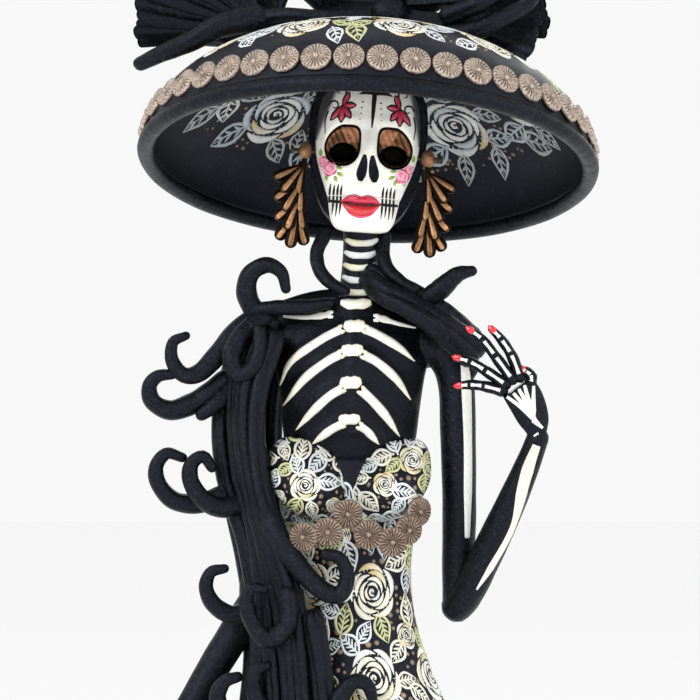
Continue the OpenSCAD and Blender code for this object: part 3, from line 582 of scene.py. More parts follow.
def ovalRings(sections, count, around, square=2.0, jitter=0.0, seed=1):
    # smooth ovals through [z, half width, half depth, x, y], a little squarer when square is over 2
    s = curvePoints(sections, count)
    phi = circle(around)
    c, n = np.cos(phi), np.sin(phi)
    k = (np.abs(c) ** square + np.abs(n) ** square) ** (-1 / square)
    rings = np.empty((count, around, 3))
    for i in range(count):
        rings[i, :, 0] = s[i, 3] + s[i, 1] * c * k
        rings[i, :, 1] = s[i, 4] + s[i, 2] * n * k
        rings[i, :, 2] = s[i, 0]
    if jitter:
        flat = rings.reshape(-1, 3)
        out = flat - np.array([s[:, 3].repeat(around), s[:, 4].repeat(around), flat[:, 2]]).T
        out /= np.maximum(np.linalg.norm(out, axis=1), 1e-6)[:, None]
        rings = (flat + out * smoothNoise(flat, 14.0, seed)[:, None] * jitter).reshape(rings.shape)
    return rings


def around(tree, cx, theta, radius):
    # lays a flat drawing round an upright body: u runs round it from the angle theta, v is the height
    def mapper(u, v):
        a = theta + u / radius
        return towards(tree, (cx + 300 * math.sin(a), -300 * math.cos(a), v),
            (-math.sin(a), math.cos(a), 0))
    return mapper


def fromFront(tree):
    return lambda u, v: towards(tree, (u, -300, v), (0, 1, 0))


def makeSkirt():
    build = Build("gownSkirt")
    sections = [(z + 0.1, r, r * gown["depth"], gown["centre"], 0) for z, r in gown["profile"]]
    outer = ovalRings(sections, 66, gown["across"], jitter=0.25)
    inner = ovalRings([(z, a - gown["wall"], b - gown["wall"], x, y) for z, a, b, x, y in sections], 20,
        gown["across"])[::-1]
    rings = np.concatenate([outer, inner])
    build.add(rings.reshape(-1, 3), ringFaces(len(rings), gown["across"], True), 0)
    tree = solidTree(build)
    rng = np.random.default_rng(11)
    radiusAt = lambda z: np.interp(z, [p[0] for p in gown["profile"]], [p[1] for p in gown["profile"]])
    roses, z, row = [], gown["roseTop"], 0
    while z > gown["roseLow"]:
        size = gown["rose"] if z > gown["hemBelow"] else gown["hemRose"]
        count = max(5, round(2 * math.pi * radiusAt(z) / (size * gown["apart"])))
        roses += [((k + 0.5 * (row % 2)) * 2 * math.pi / count + 0.1, z + rng.uniform(-2, 2),
            size * rng.uniform(0.85, 1.05)) for k in range(count)]
        z -= gown["roseStep"]
        row += 1
    strewRound(build, tree, gown["centre"], radiusAt, gown["painted"], roses, rng, gownTones, gown["leaf"],
        3400, 2200, 4.8, 3, (0.8, 1.8))
    place(build, [charcoalGround, strokePaint], "figure", ["skirt_shell"], "painted_clay")


def makeBodice():
    build = Build("gownBodice")
    rings = ovalRings(bodiceOvals, 76, 112, jitter=0.15, seed=2)
    build.add(*closedSkin(rings))
    tree = solidTree(build)
    rng = np.random.default_rng(5)
    radiusAt = lambda z: np.interp(z, [s[0] for s in bodiceOvals], [s[1] for s in bodiceOvals])
    roses = [(math.radians(d), z, r) for z, d, r in ((290.5, 20, 11), (293, -56, 9.6), (291, 106, 9.6),
        (292, 182, 9.6), (257, 16, 11.6), (260, -48, 10), (257, 78, 10.4), (257, 142, 10), (256, 208, 10.2),
        (258, 262, 9.4), (273, 58, 5.4), (313, -16, 4.4), (314, 66, 6), (313, 140, 6.5), (314, 220, 6.5))]
    strewRound(build, tree, 1.5, radiusAt, (237.5, 331), roses, rng, gownTones, 12.6, 3200, 2200, 1.3, 4,
        (0.7, 1.6))
    place(build, [charcoalGround, strokePaint], "figure", ["bodice"], "painted_clay")


slab = dict(width=74.0, depth=68.0, thick=7.0, around=144)
hemRoll = dict(radius=71.5, height=11.2, thick=4.3, folds=24, sides=16)


def makeBaseAndHem():
    build = Build("baseSlab")
    edge = [(0, -1.5), (0.5, -0.5), (1.5, 0), (slab["thick"] - 1.4, 0), (slab["thick"] - 0.4, -0.4),
        (slab["thick"], -1.4)]
    rings = np.empty((len(edge) + 4, slab["around"], 3))
    phi = circle(slab["around"])
    rows = [(0, -60), (0, -30)] + edge + [(slab["thick"], -30), (slab["thick"], -60)]
    for i, (z, o) in enumerate(rows):
        rings[i, :, 0] = (slab["width"] + o) * np.cos(phi)
        rings[i, :, 1] = (slab["depth"] + o) * np.sin(phi)
        rings[i, :, 2] = z
    build.add(*closedSkin(rings))
    placeBlack(build, "base_board")
    hem = Build("hemRoll")
    path = [(hemRoll["radius"] * math.cos(a), hemRoll["radius"] * gown["depth"] * math.sin(a),
        hemRoll["height"]) for a in phi]
    rings = np.empty((slab["around"], hemRoll["sides"], 3))
    psi = circle(hemRoll["sides"])
    for i, p in enumerate(path):
        r = hemRoll["thick"] * (1 - 0.16 * abs(math.sin(i * math.pi * hemRoll["folds"] / slab["around"])))
        out = np.array([math.cos(phi[i]), gown["depth"] * math.sin(phi[i]), 0])
        rings[i] = p + r * (np.cos(psi)[:, None] * out + np.sin(psi)[:, None] * np.array([0, 0, 1]))
    hem.add(rings.reshape(-1, 3), [f[::-1] for f in ringFaces(slab["around"], hemRoll["sides"], True)], 0)
    place(hem, [blackClay], "figure", ["hem_roll"], "painted_clay")


def makeCups():
    for name, nodeName, x, z, w, side in (("cupRight", "bust_cup_right", -16.8, 334.5, 16.6, -1),
            ("cupLeft", "bust_cup_left", 15.2, 334, 16.4, 1)):
        build = Build(name)
        rings = []
        turn = math.radians(8 * side)
        ca, sa = math.cos(turn), math.sin(turn)
        a = circle(72)
        p = np.where((side * np.cos(a) > 0) & (np.sin(a) > 0), 0.72, 1.05)
        c, e = np.sign(np.cos(a)) * np.abs(np.cos(a)) ** p, np.sign(np.sin(a)) * np.abs(np.sin(a)) ** p
        for t in np.radians(np.linspace(0, 84, 26)):
            k = math.cos(t) * (1 - 0.12 * math.sin(t))
            lx, ly = w * k * c, np.full(72, -22 * math.sin(t))
            lz = k * (15.8 * e + side * 0.26 * w * c) - 3 * math.sin(t)
            rings.append(np.stack([x + lx * ca - ly * sa, -9 + lx * sa + ly * ca, z + lz], 1))
        build.add(*closedSkin(np.array(rings)[:, ::-1]))
        m = fromFront(solidTree(build))
        rng = np.random.default_rng(8 if side < 0 else 9)
        roses = [(x - 1.5, z - 1.5, 6.0), (x - 12.6, z - 7, 3.6), (x + 9.5, z - 9.5, 3.0)]
        if side > 0:
            roses = [(x + 8.5, z + 8.6, 5.2), (x - 2.2, z - 0.6, 4.6), (x + 9.8, z - 7.5, 3.2)]
        sample = lambda g: (g.uniform(x - 17, x + 17), g.uniform(z - 18, z + 20))
        strew(build, sample, lambda u, v: (m, u, v), flatOffset, roses, rng, gownTones, 9.4, 900, 600, 0.9,
            4, (0.6, 1.5))
        place(build, [charcoalGround, strokePaint], "figure", [nodeName], "painted_clay")


makeSkirt()
makeBodice()
makeBaseAndHem()
makeCups()
print("gown modelled and painted")


# rosettes, set in rows by geometry nodes
def rosetteMesh(radius, thick):
    # a pressed clay disc: petals round a button, scalloped at the rim
    build = Build("rosetteShape")
    rows = [(0.06, 1.0), (0.13, 0.96), (0.18, 0.7), (0.24, 0.78), (0.40, 0.80), (0.58, 0.82), (0.76, 0.84),
        (0.90, 0.8), (0.97, 0.6), (1.0, 0.3), (0.99, 0.0)]
    count = 132
    phi = circle(count)
    petals = np.abs(np.cos(phi * 11)) ** 1.1
    rings, tint = [], []
    for s, h in rows:
        deep = 1 if 0.2 < s < 0.95 else 0
        r = radius * s * (1 - (0.035 * (1 - np.abs(np.cos(phi * 5.5)) ** 0.6) if s > 0.7 else 0))
        rings.append(np.stack([r * np.cos(phi), r * np.sin(phi), thick * (h - deep * 0.24 * (1 - petals))],
            1))
        # the tint darkens the hollows between the petals and the ring round the button: painted shade
        tint.append(1 - deep * 0.8 * (1 - petals) - (0.5 if abs(s - 0.18) < 0.02 else 0))
    verts, faces = closedSkin(np.array(rings))
    verts[-2] = (0, 0, thick)
    verts[-1] = (0, 0, 0)
    t = np.concatenate([np.array(tint).ravel(), [1, 1]])
    build.add(verts, faces, 0, greys(t))
    return bpy.data.objects.new("rosetteShape", build.mesh())


def rosetteTree(shape, material, name):
    # instances the shape on every point of the host mesh, turned to the point's facing, each spun at random
    tree = bpy.data.node_groups.new(name, "GeometryNodeTree")
    tree.interface.new_socket("Geometry", in_out="INPUT", socket_type="NodeSocketGeometry")
    size = tree.interface.new_socket("Size", in_out="INPUT", socket_type="NodeSocketFloat")
    size.default_value = 1.0
    spin = tree.interface.new_socket("Spin", in_out="INPUT", socket_type="NodeSocketFloat")
    spin.default_value = 6.28
    tree.interface.new_socket("Geometry", in_out="OUTPUT", socket_type="NodeSocketGeometry")
    n = tree.nodes
    gin, gout = n.new("NodeGroupInput"), n.new("NodeGroupOutput")
    points = n.new("GeometryNodeMeshToPoints")
    facing = node(tree, "GeometryNodeInputNamedAttribute", data_type="FLOAT_VECTOR")
    facing.inputs["Name"].default_value = "facing"
    align = n.new("FunctionNodeAlignRotationToVector")
    align.axis = "Z"
    join(facing, "Attribute", align, "Vector")
    info = n.new("GeometryNodeObjectInfo")
    info.inputs["Object"].default_value = shape
    inst = n.new("GeometryNodeInstanceOnPoints")
    spinValue = node(tree, "FunctionNodeRandomValue", data_type="FLOAT")
    spinValue.inputs["Seed"].default_value = 4
    join(gin, "Spin", spinValue, 3)
    turn = n.new("FunctionNodeRotateRotation")
    turn.rotation_space = "LOCAL"
    euler = n.new("FunctionNodeAxisAngleToRotation")
    euler.inputs["Axis"].default_value = (0, 0, 1)
    join(spinValue, 1, euler, "Angle")
    join(align, "Rotation", turn, "Rotation")
    join(euler, "Rotation", turn, "Rotate By")
    join(gin, "Geometry", points, "Mesh")
    join(points, "Points", inst, "Points")
    join(info, "Geometry", inst, "Instance")
    join(turn, "Rotation", inst, "Rotation")
    join(gin, "Size", inst, "Scale")
    real = n.new("GeometryNodeRealizeInstances")
    setMat = n.new("GeometryNodeSetMaterial")
    setMat.inputs["Material"].default_value = material
    join(inst, "Instances", real, "Geometry")
    join(real, "Geometry", setMat, "Geometry")
    join(setMat, "Geometry", gout, "Geometry")
    return tree


def rosettesOn(name, spots, tree, size, body, nodes):
    # spots are (place, facing) pairs; the tree's result becomes one plain mesh
    me = bpy.data.meshes.new(name + "Host")
    me.from_pydata([np.array(p) * mm for p, _ in spots], [], [])
    face = me.attributes.new("facing", "FLOAT_VECTOR", "POINT")
    face.data.foreach_set("vector", np.array([f for _, f in spots], float).ravel())
    host = bpy.data.objects.new(name, me)
    scene.collection.objects.link(host)
    mod = host.modifiers.new("row", "NODES")
    mod.node_group = tree
    ids = {s.name: s.identifier for s in tree.interface.items_tree if s.in_out == "INPUT"}
    mod[ids["Size"]] = size
    mod[ids["Spin"]] = 6.28
    host.update_tag()
    depsgraph = bpy.context.evaluated_depsgraph_get()
    result = bpy.data.meshes.new_from_object(host.evaluated_get(depsgraph))
    host.modifiers.remove(mod)
    host.data = result
    for poly in result.polygons:
        poly.use_smooth = True
    hand(host, body, nodes)


hatCentre = np.array([6.4, 0, 462.0])
hat = dict(radius=91.0, height=49.0, wall=4.0, tilt=16.5, roll=3.0, lip=3.39, lipDrop=1.6,
           rosettes=45, band=8.4, bandRadius=89.0, bandLean=18.3)
hatTurn = np.array((Matrix.Rotation(math.radians(hat["roll"]), 3,
    "Y") @ Matrix.Rotation(math.radians(-hat["tilt"]), 3, "X")))
headCentre = np.array([6, 0, 466.0])
headTurn = np.array(Matrix.Rotation(math.radians(4), 3, "Y"))


def onHat(p):
    return np.asarray(p, float) @ hatTurn.T + hatCentre


def onHead(p):
    return np.asarray(p, float) @ headTurn.T + headCentre


rosetteShape = rosetteMesh(6.0, 2.5)
rosetteRow = rosetteTree(rosetteShape, champagneClay, "rosetteRow")
beltRow = rosetteTree(rosetteShape, copperClay, "beltRow")
lean = math.radians(hat["bandLean"])
brimSpots = []
for i in range(hat["rosettes"]):
    a = 2 * math.pi * i / hat["rosettes"]
    out = np.array([math.cos(a) * math.cos(lean), math.sin(a) * math.cos(lean), math.sin(lean)])
    at = np.array([hat["bandRadius"] * math.cos(a), hat["bandRadius"] * math.sin(a), hat["band"]])
    brimSpots.append((onHat(at), hatTurn @ out))
rosettesOn("brimRosettes", brimSpots, rosetteRow, 1.0, "hat", ["brim_rosettes"])
beltPlaces = [(-19.6, -32.2, 313, -20), (-9.6, -34.2, 315, -9), (-1.6, -33.2, 322, 0), (6.6, -34.2, 314, 5),
    (16.2, -32.3, 311, 13), (22.8, -29.4, 315.5, 26), (27.4, -25, 322.5, 40)]
beltSpots = []
for x, y, z, deg in beltPlaces:
    a = math.radians(deg)
    beltSpots.append((np.array([x - 2.4 * math.sin(a), y + 2.4 * math.cos(a), z]),
        np.array([math.sin(a), -math.cos(a), -0.1])))
rosettesOn("beltRosettes", beltSpots, beltRow, 0.98, "figure", ["belt_rosettes"])
print("rosettes set")


# head
skullOvals = [(-19.6, 14.6, 15, 0, -4.5), (-16, 16, 17, 0, -4), (-10, 18.2, 19.5, 0, -2.6),
    (-4, 20, 21.6, 0, -1.2), (2, 20.8, 23, 0, 0), (9, 20.8, 23.6, 0, 1), (17, 20, 23.4, 0, 1.6),
    (23, 17.4, 21, 0, 2.2), (27.5, 13.2, 16.8, 0, 3), (30.6, 7.5, 10, 0, 3.6), (32, 3, 4, 0, 4)]
jawOvals = [(-33.4, 7.6, 5.2, 0, -12.6), (-32.2, 10.6, 8, 0, -10.6), (-29, 12.6, 11, 0, -8.4),
    (-24.5, 13.6, 13.2, 0, -6.6), (-19.7, 14.4, 14.8, 0, -4.6)]
hairOvals = [(-30, 12, 9, 0, 13), (-24, 17, 14, 0, 12), (-14, 21, 19, 0, 9), (-2, 23.4, 23.5, 0, 5.4),
    (10, 24, 25, 0, 4), (20, 22.6, 24, 0, 4.4), (27, 18, 19, 0, 5), (31.5, 11.5, 12.5, 0, 6),
    (33.6, 4, 5, 0, 6.4)]
eye = dict(middle=0.6, apart=10.4, high=0.0, wide=7.2, tall=8.2, deep=3.6)


def faceRelief(p):
    # how far the front of the head is pushed in at each place: sockets, nose, brow, cheeks and mouth
    x, z = p[:, 0], p[:, 2]
    ax = np.abs(x - eye["middle"])
    bump = lambda dx, dz, sx, sz: np.exp(-((dx / sx) ** 2) - (dz / sz) ** 2)
    q = ((ax - eye["apart"]) / eye["wide"]) ** 2 + ((z - eye["high"]) / eye["tall"]) ** 2
    d = eye["deep"] / (1 + np.exp((q - 0.8) * 8))
    pit = ((ax - eye["apart"] + 0.3) / 5.2) ** 2 + ((z - eye["high"] + 2.6) / 3.7) ** 2
    d += 3.0 / (1 + np.exp((pit - 0.8) * 9))
    d += 2.6 * bump(np.abs(x - 0.8) - 2.2, z + 10.0, 1.8, 3.6)
    d -= 1.8 * bump(x - 0.8, z + 1.0, 2.6, 5.5)
    d -= 1.3 * bump(ax - 9, z - 10.4, 7.5, 2.8)
    d -= 1.8 * bump(ax - 14.5, z + 10.5, 4.6, 4.2)
    d += 1.6 * bump(ax - 12.6, z + 18.5, 3.6, 4.6)
    d -= 1.8 * bump(x + 0.8, z + 23, 8.5, 6)
    d -= 0.8 * bump(x, z + 31, 8, 3.2)
    return d


def headPart(build, sections, count, mat=0):
    rings = ovalRings(sections, count, 168, 2.35)
    flat = rings.reshape(-1, 3)
    s = curvePoints(sections, count)
    front = np.clip((s[:, 4].repeat(168) - flat[:, 1]) / 10.0, 0, 1)
    flat[:, 1] += faceRelief(flat) * front * front * (3 - 2 * front)
    # above the eyes the black of the hair comes down on both sides of the forehead
    temple = np.where(flat[:, 0] < 0, 19.6 - (flat[:, 2] - 4) * 0.34, 20.0 - (flat[:, 2] - 4) * 0.24)
    k = 1 - 0.985 / (1 + np.exp(-(np.abs(flat[:, 0]) - temple) * 3.4)) * (flat[:, 2] > 2)
    k = np.append(k, [1, 1])
    rings = onHead(flat).reshape(rings.shape)
    build.add(*closedSkin(rings), mat, greys(k))


blackPaint, crimson = sRgb(26, 24, 26), sRgb(176, 26, 54)
rosePink, leafGreen = sRgb(232, 96, 140), sRgb(84, 150, 74)
boneWhite = sRgb(238, 238, 232)
blossom = dict(petal=[rosePink, sRgb(250, 196, 214), sRgb(214, 54, 108)], heart=sRgb(206, 40, 92),
    deep=sRgb(236, 120, 160), warm=0)


def makeHead():
    jaw, skull = Build("lowerJaw"), Build("skull")
    headPart(jaw, jawOvals, 46)
    headPart(skull, skullOvals, 150)
    treeOf = {"jaw": solidTree(jaw), "skull": solidTree(skull)}

    def face(part):
        return lambda u, v: towards(treeOf[part], onHead((u, -80, v)), (0, 1, 0))
    s, j = face("skull"), face("jaw")

    def ink(points, widths, part=skull, mapper=s):
        layStroke(part, mapper, points, widths, blackPaint, rise=0.1, per=0.7)
    # brow cross and scrolls
    ink([(1.3, 7.4), (1.4, 14), (1.5, 24.6)], [0.25, 0.75, 0.95, 1.0])
    ink([(-4.6, 20.6), (-1.5, 21.6), (1.6, 21.3), (5.4, 21.6), (8.6, 20.6)], [0.2, 0.95, 0.8, 0.95, 0.2])

    def petal(x0, z0, x1, z1, w, colour, shine=None):
        # a painted petal with a dark edge
        layStroke(skull, s, [(x0, z0), ((x0 + x1) / 2, (z0 + z1) / 2), (x1, z1)],
            [0.35, w * 1.5, w * 1.6, 0.4], blackPaint, rise=0.06, per=0.6)
        layStroke(skull, s, [(x0 + (x1 - x0) * 0.08, z0 + (z1 - z0) * 0.08), ((x0 + x1) / 2, (z0 + z1) / 2),
            (x1 - (x1 - x0) * 0.1, z1 - (z1 - z0) * 0.1)], [0.12, w * 0.8, w * 0.9, 0.15], colour,
            colourEnd=shine, rise=0.2, per=0.6)
    for side in (-1, 1):
        cx = 0.6 + side * 11.4
        for x1, z1, w in ((side * 11.6, 8.8, 1.05), (side * 7.8, 10.6, 1.0), (side * 6.0, 16.0, 0.95),
                (side * 15.8, 9.6, 0.9), (side * 9.0, 21.2, 0.85)):
            petal(cx, 15.8, 0.6 + x1, z1, w, crimson, sRgb(226, 96, 122))
        for x, z, wide, tall, turns in ((14.6, 15.6, 2.4, 2.4, np.linspace(0, 5.6, 14)),
                (12.6, 21.6, -2.3, 2.0, np.linspace(-0.6, 4.6, 12))):
            scroll = [(0.6 + side * (x + wide * math.cos(a) * (1 - a / 8)),
                z + tall * math.sin(a) * (1 - a / 8)) for a in turns]
            ink(scroll, [0.4, 0.42, 0.3, 0.2])
        ink([(0.6 + side * 17.0, 13.6), (0.6 + side * 17.9, 9.4), (0.6 + side * 17.6, 4.4)],
            [0.35, 0.3, 0.15])
        for k in range(4):
            layDot(skull, s, 0.6 + side * (3.6 + 0.2 * k), 17.5 - 2.3 * k, 0.42 - 0.05 * k, blackPaint)
        # cheek blossoms and leaves
        for bx, bz, r in ((14.4, -9.4, 2.9), (17.4, -6.6, 2.2)):
            x0, z0 = 0.2 + side * bx, bz - (1.2 if side > 0 else 0)
            layStroke(skull, s, [(x0 - r * 0.6, z0), (x0, z0), (x0 + r * 0.6, z0)],
                [r * 0.55, r * 0.9, r * 0.55], sRgb(246, 176, 200), rise=0.08, per=0.5, across=5)
            rose(skull, s, x0, z0, r, side + r, np.random.default_rng(6), blossom, 0.5)
        for x0, z0, x1, z1 in ((18.2, -4.4, 18.6, -1.4), (11.8, -8.6, 9.4, -9.4),
                (12.2, -12.2, 11.2, -14.4), (15.6, -12.0, 15.2, -14.2), (11.4, -10.8, 8.8, -12.2)):
            layStroke(skull, s, [(0.2 + side * x0, z0), (0.2 + side * (x0 + x1) / 2, (z0 + z1) / 2),
                (0.2 + side * x1, z1)], [0.2, 0.75, 0.6, 0.1], leafGreen, colourEnd=sRgb(178, 200, 84),
                rise=0.15, per=0.5)
    # stitched mouth on both halves
    for k, x in enumerate((-13.6, -12.0, -10.5, -9.1, 7.4, 8.9, 10.4, 11.9)):
        up = -15.2 - 0.5 * (k % 2)
        ink([(x + 0.25, up), (x, -17.6), (x, -19.45)], [0.15, 0.46, 0.4])
        ink([(x, -19.85), (x + 0.1, -23.5), (x - 0.1, -28.0 + 0.7 * (k % 2))], [0.4, 0.45, 0.1], jaw, j)
    for a, b in ((-15.0, -7.4), (5.6, 14.4)):
        line = [(a, -21.5), ((a + b) / 2, -22.1), (b, -22.2)]
        if a > 0:
            line = [(b, -21.9), ((a + b) / 2, -22.2), (a, -22.3)]
        ink(line, [0.5, 0.62, 0.5], jaw, j)
    place(jaw, [boneGround, facePaint], "figure", ["lower_jaw"], "painted_bone")
    place(skull, [boneGround, facePaint], "figure", ["skull"], "painted_bone")
    # nose: two dark drops
    nose = Build("noseMarks")
    for drop in ([(-0.7, -3.2), (-1.0, -7), (-1.6, -10.6), (-1.9, -13.6)],
            [(2.3, -3.4), (2.7, -7), (3.4, -10.6), (3.9, -13.8)]):
        layStroke(nose, s, drop, [0.6, 1.3, 1.7, 2.0, 1.9, 0.8], (0.7, 0.7, 0.7, 1), mat=0, rise=0.12,
            per=0.6, across=5)
    placeBlack(nose, "nose_marks")
    # sockets: coppery bowls with a black rim and a pit painted near-black as painted shade for its depth
    sockets = Build("eyeSockets")
    for side in (-1, 1):
        count, rows = 96, 30
        a = circle(count)
        c, n = np.cos(a), np.sin(a)
        inner = c * side < 0
        p = np.where(n < 0, 2.2, np.where(inner, 5.0, 1.6))
        reach = (np.abs(c) ** p + np.abs(n) ** p) ** (-1 / p)
        rings, tints = [], []
        for i in range(rows):
            t = (i + 0.3) / (rows - 0.7)
            row, tone = [], []
            for k in range(count):
                dx, dz = c[k] * reach[k] * t * eye["wide"], n[k] * reach[k] * t * eye["tall"]
                at = s(eye["middle"] + side * eye["apart"] + dx, eye["high"] + dz)[0]
                row.append(at + np.array([0, -0.22, 0]))
                pit = ((dx * side + 0.3) / 5.3) ** 2 + ((dz + 2.7) / 3.8) ** 2
                # the pit is painted near-black: painted shade of a deep hole
                if pit < 1:
                    tone.append((0.004, 0.004, 0.004, 1))
                elif t > 0.87 or pit < 1.12:
                    tone.append((0.012, 0.011, 0.01, 1))
                else:
                    # brushed copper, with a painted highlight: a paler wedge under the brow at the inner
                    # corner
                    copperAndHighlight = 0.42 + 0.24 * math.sin(dx * 2.6 + dz * 1.3) + (0.55
                        if dz > 1.5 and dx * side < dz * 0.5 - 2.4 else 0)
                    tone.append((copperAndHighlight, copperAndHighlight * 0.82, copperAndHighlight * 0.78, 1))
            rings.append(row)
            tints.append(tone)
        back = [[q + np.array([0, 0.5, 0]) for q in row] for row in rings[::-1]]
        verts, faces = closedSkin(np.array(rings + back))
        tone = np.array(tints + tints[::-1]).reshape(-1, 4)
        sockets.add(verts, [f[::-1] for f in faces], 0, np.vstack([tone, tone[0], tone[-1]]))
    place(sockets, [bronzeClay], "figure", ["eye_sockets"], "bronze_clay")
    # lips: modelled, with a dark parting
    lips = Build("lips")
    both = lambda u, v: s(u, max(v, -19.4)) if v > -19.6 else j(u, min(v, -19.9))
    for points, widths, tone, rise, across, per, sink in (
        # upper lip, lower lip, parting, two painted highlights and the lower edge
        ([(-8.2, -22.2), (-5.0, -20.8), (-1.0, -21.2), (3.0, -20.8), (6.3, -22.4)],
         [0.4, 1.5, 2.0, 1.55, 2.0, 1.5, 0.4], sRgb(196, 30, 66), 1.5, 7, 0.45, 1),
        ([(-7.6, -22.9), (-4.4, -24.9), (-1.0, -25.5), (2.4, -25.0), (5.7, -23.1)],
         [0.4, 1.9, 2.4, 1.9, 0.4], sRgb(202, 44, 52), 1.7, 7, 0.45, 1),
        ([(-8.6, -22.4), (-5.0, -22.7), (-1.0, -23.0), (3.0, -22.8), (6.8, -22.6)],
         [0.2, 0.35, 0.3, 0.35, 0.2], sRgb(50, 10, 16), 1.25, 3, 0.5, 0.5),
        ([(-5.4, -20.4), (-3.4, -19.7), (-2.0, -20.1)], [0.1, 0.3, 0.1], sRgb(244, 150, 170), 1.25, 3, 0.4,
        0.2),
        ([(-5.0, -26.4), (-1.0, -27.5), (3.0, -26.6)], [0.1, 0.32, 0.1], sRgb(240, 120, 150), 0.95, 3, 0.4,
        0.2),
        ([(-7.8, -23.4), (-5.0, -26.4), (-1.0, -27.7), (3.0, -26.5), (5.8, -23.6)],
         [0.2, 0.5, 0.55, 0.5, 0.2], sRgb(226, 52, 122), 0.9, 3, 0.5, 0.4),
    ):
        layStroke(lips, both, points, widths, tone, 0, rise=rise, across=across, per=per, sink=sink)
    # lighter strokes on top: orange patches on the lower lip, and pink painted highlights on the upper lip
    for x0, z0, x1, z1, tone in ((-5.6, -24.6, -2.6, -25.4, sRgb(236, 106, 84)),
            (-0.6, -25.0, 2.6, -24.8, sRgb(232, 92, 78)), (-4.6, -20.6, -2.4, -20.6, sRgb(240, 110, 130)),
            (1.0, -20.4, 3.4, -20.6, sRgb(238, 96, 120))):
        layStroke(lips, both, [(x0, z0), ((x0 + x1) / 2, (z0 + z1) / 2 - 0.15), (x1, z1)],
            [0.15, 0.5, 0.15], tone, 0, rise=1.95 if z0 < -23 else 1.75, per=0.4, sink=-0.6)
    place(lips, [lipPaint], "figure", ["lips"], "red_paint")


def makeHair():
    # a close black head cover combed back in grooves, behind the face
    build = Build("hairCap")
    sections = [(z, a * 0.995, b * 0.995, x, y) for z, a, b, x, y in hairOvals]
    rings = ovalRings(sections, 60, 160, 2.2)
    flat = rings.reshape(-1, 3)
    centre = curvePoints(sections, 60)
    cy = centre[:, 4].repeat(160)
    a = np.arctan2(flat[:, 0], flat[:, 1] - cy)
    grooveAndShade = np.abs(np.sin(a * 22 + flat[:, 2] * 0.10)) ** 0.7
    k = 0.972 + 0.028 * grooveAndShade
    flat[:, 0] *= k
    flat[:, 1] = cy + (flat[:, 1] - cy) * k
    # the front is pressed back so that the face stands clear of it
    edge = 1 / (1 + np.exp(-(flat[:, 2] + 3) * 1.2))
    limit = np.where(flat[:, 2] > 24, -30, 7.6 * (1 - edge) + 2.1 * edge)
    flat[:, 1] = np.maximum(flat[:, 1], limit)
    # the tint is painted darker down in the combed grooves: painted shade
    g = 0.6 + 0.4 * grooveAndShade
    verts, faces = closedSkin(onHead(flat).reshape(rings.shape))
    build.add(verts, faces, 0, np.append(greys(g), [[1, 1, 1, 1]] * 2, 0))
    placeBlack(build, "hair_cap")


makeHead()
makeHair()
print("head modelled")


# body, bones and arms
torsoOvals = [(326, 24, 14, -1, 1), (342, 25.5, 15, -1, 1), (353, 26.8, 16, -0.8, 1),
    (364, 28, 17, -0.6, 1), (375, 29.5, 17.5, -0.4, 2), (384, 32, 17, -0.8, 2.5), (392, 33.5, 15, -1.5, 3),
    (398, 30, 12.5, -1, 3.5), (403, 20, 10.5, 0.5, 4), (407, 10, 9, 2, 4)]
ribLines = [  # inner end to outer end, x and z
    [(-4.4, 394.2), (-12.6, 389.9), (-24.3, 381.3), (-28.6, 371.9)],
    [(-4.4, 384.4), (-10, 381.4), (-19, 374.4), (-27.4, 363.8)],
    [(-4.0, 370.7), (-9.4, 367.4), (-16, 361.2), (-22.2, 354.2)],
    [(-4.0, 356.6), (-8, 354.6), (-12.6, 351.2), (-15.8, 348.6)],
    [(5.5, 394.2), (10.6, 391.8), (18.6, 387), (24.8, 381.6)],
    [(4.8, 384), (10.2, 381), (17.6, 374.4), (23.2, 366.2)],
    [(3.8, 369.9), (8, 366), (13.4, 359.8), (18.8, 351.7)],
    [(3.2, 355.8), (5.8, 354), (8.4, 351.2), (10.6, 348.6)]]


